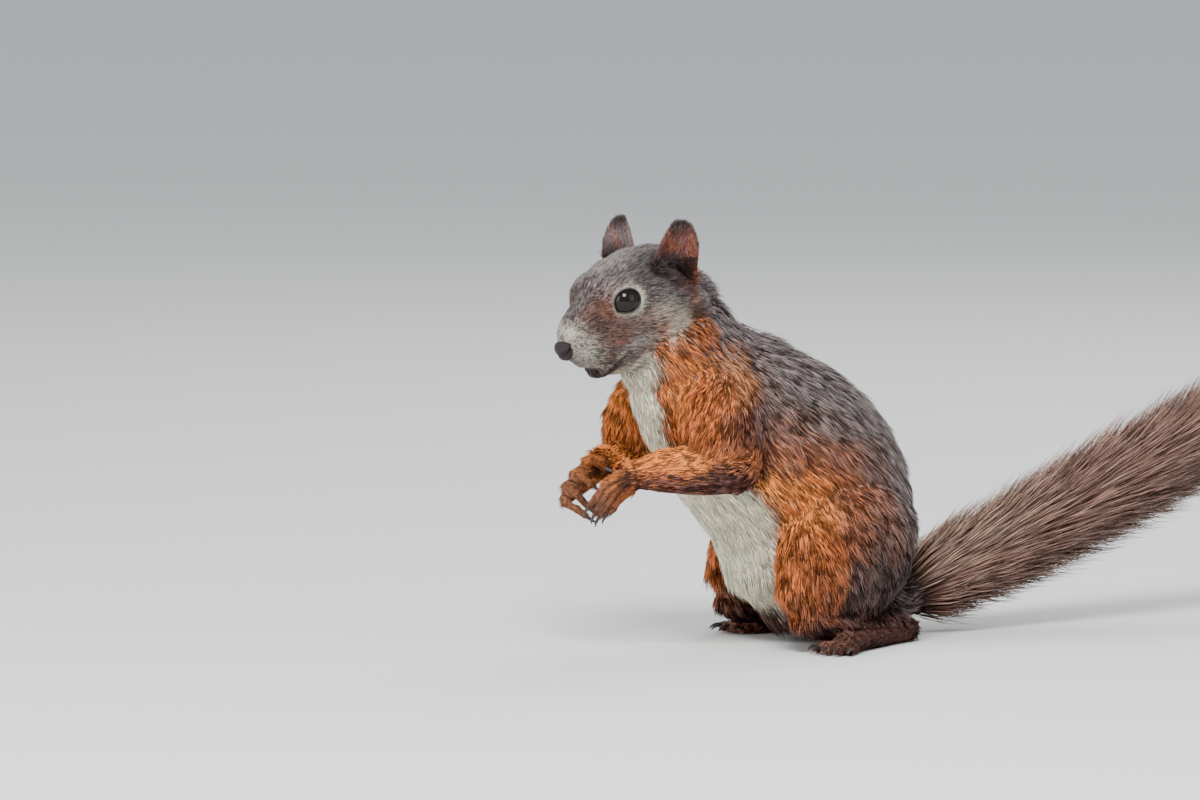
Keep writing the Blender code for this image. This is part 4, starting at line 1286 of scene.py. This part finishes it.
def spread_roots(chooser, count, seed):
    """Random places on the chosen faces, and a way to read any number stored on the skin there."""
    weights = face_closeness * chooser
    chance = np.random.default_rng(seed)
    faces = chance.choice(len(triangles), count, p=weights / weights.sum())
    first, second = np.sqrt(chance.random(count)), chance.random(count)
    shares = np.stack((1 - first, first * (1 - second), first * second), axis=1)

    def at_roots(values):
        picked = values[triangles[faces]]
        return (picked * (shares if picked.ndim == 2 else shares[:, :, None])).sum(axis=1)

    return at_roots, chance


# %% [markdown]
# ## Locks
# Seen from a step away, single hairs blur and what shows is locks: a few tufts that lean together and
# share a shade. Each tuft could be given its lock by hand or by a grid, but a grid shows.
# Here some tufts are drawn by lot as leaders, and every other tuft joins the nearest one.

# %% Locks of tufts, and how they share shade and colour
def gather(roots, tips, lock_size, pull, chance):
    """Tips drawn towards the tip of the lock they belong to, and the number of that lock."""
    centres = chance.choice(len(roots), max(len(roots) // lock_size, 1), replace=False)
    tree = KDTree(len(centres))
    for number, centre in enumerate(centres):
        tree.insert(roots[centre], number)
    tree.balance()
    lock = np.array([centres[tree.find(root)[1]] for root in roots])
    drift = (tips - roots)[lock] + (roots[lock] - roots) * 0.85
    return tips * (1 - pull) + (roots + drift) * pull, lock


def mingled(roots, values, reach, share, chance):
    """Some tufts take the colour of another tuft nearby, as hairs of two colours mix along a border.
    White fur keeps out of it."""
    cells = np.floor(roots / reach + chance.random(3)).astype(np.int64) @ (73856093, 19349663, 83492791)
    order = np.lexsort((chance.random(len(roots)), cells))
    other = np.roll(order, 1)
    takes = (cells[order] == cells[other]) & (chance.random(len(roots)) < share)
    takes &= (values[order, 1] < 0.45) & (values[other, 1] < 0.45)
    changed = values.copy()
    changed[order[takes]] = values[other[takes]]
    return changed


def luck_of(lock, together, stretch, chance):
    """A number from 0 to 1 for each tuft, partly the same within a lock."""
    luck = (1 - together) * chance.random(len(lock)) + together * chance.random(len(lock))[lock]
    return np.clip((luck - 0.5) * stretch + 0.5, 0, 1)


# %% Tufts that follow the lie of the coat
# tufts in a lock, how much they lean together and share their luck, how far luck spreads,
# and how far and how often a tuft takes the colour of a neighbour
SHORT_HAIR = {"lock": 4, "pull": 0.3, "together": 0.45, "stretch": 2.0, "reach": 3, "mingling": 0.35}
LONG_HAIR = {"lock": 6, "pull": 0.38, "together": 0.62, "stretch": 1.6, "reach": 11, "mingling": 0.5}


def combed(flow, normal, roots, chance):
    """The lie of the hair with a little disorder and slow waves, flat on the skin."""
    count = len(roots)
    flow = flow + 0.16 * chance.normal(size=(count, 3)) + 0.12 * np.sin(bent(roots, 3.0, 2.0) / 2.2)
    return unit(flow - normal * (flow * normal).sum(axis=1)[:, None])


def grow_on_skin(name, chooser, count, seed, slot_name, hair):
    """A piece of the coat over the chosen part of the skin. Short hair is straight, long hair bends."""
    at_roots, chance = spread_roots(chooser, count, seed)
    roots, normal = at_roots(points), unit(at_roots(normals))
    reach = (at_roots(length) * chance.uniform(0.65, 1.2, count))[:, None]
    rise = np.radians(at_roots(lift) * chance.uniform(0.5, 1.45, count))[:, None]
    flow = combed(at_roots(lie), normal, roots, chance)
    middle = roots + (flow * np.cos(rise) + normal * np.sin(rise)) * reach * 0.42
    tips = middle + (flow * np.cos(rise * 0.25) + normal * np.sin(rise * 0.25)) * reach * 0.58
    tips, lock = gather(roots, tips, hair["lock"], hair["pull"], chance)
    luck = luck_of(lock, hair["together"], hair["stretch"], chance)
    luck = 0.5 + (luck - 0.5) * (1 - 0.65 * at_roots(ear_share))
    line = np.stack((roots, tips) if hair is SHORT_HAIR else (roots, middle, tips), axis=1)
    values = mingled(roots, at_roots(pelt), hair["reach"], hair["mingling"], chance)
    grow(name, line, normal, at_roots(width) * chance.uniform(0.7, 1.3, count), values[:, :3],
         values[:, 3], luck, COAT_LOOK, slot_name)


# %% [markdown]
# ## The coat, region by region
# One mesh for the whole coat would be too heavy to handle, so it is cut into pieces by the part of the body.
# The roots fall on faces in proportion to their area and to how closely the hair stands there,
# and the lines between regions don't show, because the tufts of both sides lie across them.

# %% The coat of the body, region by region
face_part = part_number[triangles[:, 0]]
face_ahead = local[triangles[:, 0], 0]


def faces_of(*names):
    """1 for each face of the skin that belongs to the named parts, and 0 for the rest."""
    return np.array([node.startswith(names) for node in HAIRY_PARTS], float)[face_part]


# name, faces, number of tufts, slot and kind of hair
on_skull = faces_of("head", "nose", "eye")
REGIONS = (
    ("coat_face", on_skull * (face_ahead > 4), 42000, "coat_grey_brown", SHORT_HAIR),
    ("coat_crown", on_skull * (face_ahead <= 4), 42000, "coat_grey_brown", SHORT_HAIR),
    ("coat_ears", faces_of("ear"), 16000, "coat_dark_brown", SHORT_HAIR),
    ("coat_paws", faces_of("hand", "foot"), 15000, "coat_paw", SHORT_HAIR),
    ("coat_chest", faces_of("neck", "chest"), 30000, "coat_orange", LONG_HAIR),
    ("coat_back", faces_of("loin"), 32500, "coat_grey_brown", LONG_HAIR),
    ("coat_rump", faces_of("pelvis", "tail_base"), 19000, "coat_grey_brown", LONG_HAIR),
    ("coat_arms", faces_of("upper_arm", "forearm"), 24000, "coat_orange", LONG_HAIR),
    ("coat_legs", faces_of("thigh", "shank"), 25000, "coat_orange", LONG_HAIR),
)
for seed, (name, chooser, count, slot_name, hair) in enumerate(REGIONS, start=11):
    grow_on_skin(name, chooser, count, seed, slot_name, hair)

# %% [markdown]
# ## The brush of the tail
# The tail's hairs are several times longer than the body's. They leave the core at about thirty degrees,
# sweep back, and end on the outline of the solid tail, so the brush is widest a little past its middle.
# Some end well inside it, which fills the brush, and a few stop just short of each other and make it wispy.
# The last ones lean in towards the middle line and close the end of the brush.

# %% The outline of the brush
# distance along the tail, rise of its middle, and its half sizes sideways, upwards and downwards
BRUSH = np.array((
    (0, 0, 10, 12, 14), (12, 0, 13.5, 15.5, 19), (24, 0, 15, 18, 22.6), (36, 0, 16, 20, 23),
    (54, 0, 16.5, 21.5, 24), (76, 0, 17, 22.5, 25), (104, 0.5, 17, 23.5, 25), (132, 1.5, 16, 23.5, 24),
    (156, 3, 13.5, 21.5, 21.5), (174, 4.5, 10, 15, 15), (186, 6, 5.5, 8, 8), (192, 6, 2, 3, 3)), float)


def brush_edge(distance, angle):
    """How far the brush reaches from its axis, at a distance along it and an angle from its left side."""
    rise, wide, up, down = (np.interp(distance, BRUSH[:, 0], BRUSH[:, column]) for column in range(1, 5))
    tall = np.where(np.sin(angle) > 0, up, down)
    reach = 1 / np.sqrt((np.cos(angle) / wide) ** 2 + (np.sin(angle) / tall) ** 2)
    return reach + rise * np.sin(angle) * 0.6


def out_of_tail(angle):
    """Directions out of the tail's axis, at angles from its left side."""
    return np.outer(np.cos(angle), (1.0, 0, 0)) + np.outer(np.sin(angle), ABOVE_TAIL)


# %% Where the hairs of the brush start and end
TAIL_HAIR = (26, 40)
BRUSH_END = 191.5
ROOTS_END = 164
FIRST_LEANING_IN = 172


def brush_lines(low_angle, high_angle, count, chance):
    """How far along the tail, and at which angle, tufts start, with their roots and their tips."""
    start = 1 + (ROOTS_END - 1) * chance.random(count) ** 0.98
    angle = chance.uniform(low_angle, high_angle, count)
    core = np.interp(start, [row[0] for row in TAIL_CORE], [row[2] for row in TAIL_CORE])
    growth = np.interp(start, (0, 14, 40, 140, 165), (0.60, 0.82, 1.0, 1.0, 0.72))
    end = np.minimum(start + chance.uniform(*TAIL_HAIR, count) * growth * 0.86, BRUSH_END)
    fullness = 0.16 + 0.84 * chance.random(count) ** 0.55
    fullness = fullness * chance.choice((1.0, 0.96, 0.9), count)
    turn = angle + 0.16 * chance.normal(size=count)
    reach = core + (brush_edge(end, turn) - core) * fullness * 0.985
    reach = reach * (1 - np.clip((end - FIRST_LEANING_IN) / 14, 0, 1) * chance.random(count) ** 0.5)
    roots = TAIL_ROOT + np.outer(start, ALONG_TAIL) + out_of_tail(angle) * (core * 0.9)[:, None]
    tips = TAIL_ROOT + np.outer(end, ALONG_TAIL) + out_of_tail(turn) * reach[:, None]
    return start, angle, roots, tips


# %% A part of the brush
def brush_colours(start, angle):
    """Dull brown, darker below, and tan on top near the root."""
    top, under = np.clip(np.sin(angle), 0, 1), np.clip(-np.sin(angle), 0, 1)
    tan = np.clip(top * np.clip(1 - start / 46, 0, 1) * 2.0, 0, 0.4)[:, None]
    brown = np.array(FUR["tail"][:3]) * (1 - 0.6 * under[:, None])
    return brown * (1 - tan) + np.array((0.36, 0.25, 0.18)) * tan


def grow_brush(name, low_angle, high_angle, count, seed):
    """Long tufts between two angles round the tail's axis, each bulging outwards a little."""
    chance = np.random.default_rng(seed)
    start, angle, roots, tips = brush_lines(low_angle, high_angle, count, chance)
    outward = out_of_tail(angle)
    tips, lock = gather(roots, tips, 7, 0.35, chance)
    span = tips - roots
    bulge = outward * (0.07 * np.linalg.norm(span, axis=1) * chance.uniform(-0.2, 1.3, count))[:, None]
    line = np.stack((roots, roots + span * 0.34 + bulge * 0.8, roots + span * 0.68 + bulge, tips), axis=1)
    luck = luck_of(lock, 0.3, 1.2, chance)
    grow(name, line, outward, chance.uniform(0.36, 0.66, count), brush_colours(start, angle),
         np.full(count, FUR["tail"][3]), luck, TAIL_LOOK, "coat_tail")


# %% Two halves of the brush
grow_brush("coat_tail_top", -0.35, math.pi + 0.35, 12600, 41)
grow_brush("coat_tail_under", math.pi + 0.2, 2 * math.pi - 0.2, 9600, 42)

# %% [markdown]
# ## Eyes
# A squirrel's eye is almost all dark iris and pupil, wet and black.
# It is a full ball, deep in the head, so only the part in the lids' opening shows.
# A thin dark rim of bare skin lies between the ball and the lids, with the same outline as the opening.
# Eyes, rims, claws and whiskers are never one flat colour, and one group of nodes gives each its two tones.

# %% Two tones in soft clouds, for wet skin and horn
two_tones, given, result = new_group(
    "two tones",
    (("Dark", "Color", (0.01, 0.01, 0.01, 1)), ("Pale", "Color", (0.05, 0.04, 0.04, 1)),
     ("Scale", "Float", 900.0), ("Detail", "Float", 2.0), ("Low", "Float", 0.0), ("High", "Float", 1.0)),
    (("Colour", "Color"), ("Height", "Float")),
)
cloud = add_node(two_tones, "ShaderNodeTexNoise", {"Scale": given["Scale"], "Detail": given["Detail"]})
share = ramp_between(two_tones, cloud.outputs["Fac"], given["Low"], given["High"])
two_tones.links.new(mixed(two_tones, share, given["Dark"], given["Pale"]), result["Colour"])
two_tones.links.new(cloud.outputs["Fac"], result["Height"])


def two_toned(name, settings, tones):
    """A material whose colour wanders between two tones, and the height of its clouds."""
    made, tree, shader = new_material(name, settings)
    clouds = use_group(tree, two_tones, tones)
    tree.links.new(clouds.outputs["Colour"], shader.inputs["Base Color"])
    return made, tree, shader, clouds.outputs["Height"]


# %% The eyeballs
eye_look = two_toned("wet eye", {"Roughness": 0.03, "IOR": 1.34},
                     {"Dark": (0.006, 0.005, 0.006, 1), "Pale": (0.016, 0.010, 0.008, 1),
                      "Scale": 600.0, "Low": 0.35, "High": 0.65})[0]
for side, hand in (("left", 1), ("right", -1)):
    middle = Vector((eye_frame(hand)[0] + SHIFT) * MM)
    bpy.ops.mesh.primitive_uv_sphere_add(segments=64, ring_count=32, radius=EYE_RADIUS * MM, location=middle)
    ball = bpy.context.object
    ball.name = "eyeball_" + side
    finish_piece(ball, eye_look, "eye", "eye_" + side)
print("the eyeballs are", 2 * EYE_RADIUS, "mm across")

# %% A closed ring of tube
def ring_tube(name, line, radius, sides=8):
    """A closed ring of tube through a closed line of points."""
    ahead = unit(np.roll(line, -1, axis=0) - np.roll(line, 1, axis=0))
    outward = line - line.mean(axis=0)
    outward = unit(outward - ahead * (outward * ahead).sum(axis=1)[:, None])
    over = np.cross(ahead, outward)
    turns = np.arange(sides) * 2 * math.pi / sides
    points = (line[:, None] + radius * (outward[:, None] * np.cos(turns)[None, :, None]
                                        + over[:, None] * np.sin(turns)[None, :, None])).reshape(-1, 3)
    count = len(line)
    a = np.arange(count)[:, None] * sides + np.arange(sides)[None]
    b = np.arange(count)[:, None] * sides + (np.arange(sides)[None] + 1) % sides
    next_row = ((np.arange(count) + 1) % count * sides)[:, None]
    faces = np.stack((a, b, next_row + (b % sides), next_row + (a % sides)), axis=-1).reshape(-1, 4)
    return new_object(name, points, faces)


# %% The dark rims of the lids
RIM_RADIUS = 0.30
rim_look, tree, shader, grain = two_toned(
    "eye rim", {"Roughness": 0.38},
    {"Dark": (0.010, 0.008, 0.008, 1), "Pale": (0.035, 0.024, 0.022, 1), "Scale": 2500.0,
     "Low": -0.25, "High": 1.25})
bumped(tree, shader, grain, 0.00006, 0.6)
angles = np.linspace(0, 2 * math.pi, 72, endpoint=False)
signed = np.where(angles <= math.pi, angles, angles - 2 * math.pi)
reach = opening_radius(signed)[:, None] - 0.05
height = np.sqrt(np.maximum((EYE_RADIUS + 0.16) ** 2 - reach**2, 0.04))
for side, hand in (("left", 1), ("right", -1)):
    centre, axis, front, top = eye_frame(hand)
    line = centre + axis * height + (np.outer(np.cos(angles), front) + np.outer(np.sin(angles), top)) * reach
    finish_piece(ring_tube("lid_rim_" + side, line, RIM_RADIUS), rim_look, "nose_leather")

# %% [markdown]
# ## Nose
# The nose is a bare pad of dark, fine-grained leather at the tip of the muzzle, taller than it is wide,
# with a comma-shaped nostril on each side and a short cleft below.
# It is a ball shaped by a few presses, so its surface is real and not only bump.

# %% The nose pad
NOSTRIL = ((28.4, 1.3, -7.8), (27.0, 2.6, -7.3), (25.4, 3.6, -5.4))
CLEFT = ((30.0, 0, -6.5), (28.8, 0, -9.4), (26.5, 0, -11))
bpy.ops.mesh.primitive_uv_sphere_add(segments=72, ring_count=48, radius=1.0)
nose_pad = bpy.context.object
nose_pad.name = "nose_pad"
ball = mesh_points(nose_pad.data)
ahead, left, up = ball[:, 0], ball[:, 1], ball[:, 2]
wing = np.abs(left) ** 3 * np.clip(up + 0.6, 0, 1)
local_pad = np.stack((NOSE_CENTRE[0] + ahead * 2.7 + up * 0.5 - wing * 1.6, left * (3.5 + 0.75 * up),
                      NOSE_CENTRE[2] + up * np.where(up > 0, 2.9, 4.0) + wing * 0.5), axis=1)
mirrored_pad = local_pad * (1, 0, 1) + np.abs(local_pad) * (0, 1, 0)
hole = np.exp(-((stroke_distance(mirrored_pad, NOSTRIL) / 0.7) ** 2))
cleft = np.exp(-((stroke_distance(mirrored_pad, CLEFT) / 0.4) ** 2))
local_pad = local_pad - unit(ball) * (hole * 0.95 + cleft * 0.4)[:, None]
world_pad = HEAD_CENTRE + np.stack((local_pad[:, 1], -local_pad[:, 0], local_pad[:, 2]), axis=1) @ HEAD_TURN.T
nose_pad.data.vertices.foreach_set("co", ((world_pad + SHIFT) * MM).astype(np.float32).ravel())
store_number(nose_pad.data, "hole", hole)
print("the nose pad is", round(np.ptp(local_pad[:, 1]), 1), "mm wide")

# %% Leather of the nose, in fine pebbles, with painted shade in the nostrils
nose_look, tree, shader = new_material("nose leather", {"Roughness": 0.40, "Specular IOR Level": 0.3})
pebble = add_node(tree, "ShaderNodeTexVoronoi", {"Scale": 3600.0}).outputs["Distance"]
tone = mixed(tree, ramp_between(tree, pebble, 0.1, 0.7), (0.010, 0.007, 0.008, 1), (0.034, 0.022, 0.024, 1))
# painted shade: the pressed nostrils are darkened nearly to black
tone = mixed(tree, attribute(tree, "hole"), tone, (0.003, 0.002, 0.002, 1))
tree.links.new(tone, shader.inputs["Base Color"])
bumped(tree, shader, pebble, 0.00012, 0.7, invert=True)
finish_piece(nose_pad, nose_look, "nose_leather")

# %% [markdown]
# ## Claws
# The claws of the solid model already have their real shape, so they stay, rounded by one more division
# of their faces, and get the look of dark horn with paler clouds in it.

# %% Horn for every claw
horn_look = two_toned("claw horn", {"Roughness": 0.3, "Specular IOR Level": 0.5},
                      {"Dark": (0.012, 0.010, 0.010, 1), "Pale": (0.065, 0.045, 0.038, 1),
                       "Scale": 900.0, "Detail": 3.0, "Low": 0.3, "High": 0.7})[0]
claws = [claw for node, claw in frame["nodes"].items() if "claw" in node]
for claw in claws:
    claw.data.materials.clear()
    claw.data.materials.append(horn_look)
    claw.modifiers.new("joined corners", "WELD").merge_threshold = 0.02 * MM
    rounder = claw.modifiers.new("rounder", "SUBSURF")
    rounder.levels = 1
    rounder.render_levels = 1
print(len(claws), "claws of horn")

# %% [markdown]
# ## Whiskers
# Stiff black whiskers grow in rows on each side of the muzzle, and a few over the eye and on the cheek.
# Each is a long thin cone with a slight bend. All of them sweep back, so none passes the tip of the nose.

# %% Rows of whiskers
whisker_look = two_toned("whisker", {"Roughness": 0.35},
                         {"Dark": (0.012, 0.010, 0.010, 1), "Pale": (0.05, 0.04, 0.036, 1),
                          "Scale": 300.0, "Low": -0.25, "High": 1.25})[0]
THICKNESS = np.linspace(0.085, 0.025, 9)
skin_tree = BVHTree.FromPolygons(points.tolist(), triangles.tolist())
chance = np.random.default_rng(71)
sag = head_direction(-0.2, 0.0, -0.16)
whiskers = []
for hand in (1, -1):
    for ahead, left, up, reach in WHISKER_SPOTS:
        root = np.array(skin_tree.find_nearest(on_head(ahead, left * hand, up))[0])
        outwards = hand * (0.62 + 0.1 * chance.normal())
        towards = head_direction(-0.85, outwards, 0.10 * chance.normal() - 0.12 + 0.02 * up)
        far = reach * chance.uniform(0.85, 1.1)
        steps = np.linspace(-0.02, 1, len(THICKNESS))
        line = [root + (towards + sag * share) * far * share for share in steps]
        whiskers.append(tube("whisker", line, THICKNESS, 5))
print(len(whiskers), "whiskers")
finish_piece(joined("whiskers", whiskers), whisker_look, "claw")

# %% [markdown]
# ## The last step
# The skin stands for all the solid parts of flesh and for the ears and the tail.

# %% What the skin stands for
FLESH_NODES = [node for node in frame["nodes"] if "claw" not in node and not node.startswith("eye")]
finish_piece(skin, skin_look, "coat_grey_brown", *FLESH_NODES)
total = sum(len(piece.data.loop_triangles) or len(piece.data.polygons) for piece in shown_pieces())
print("about", total, "triangles in all")
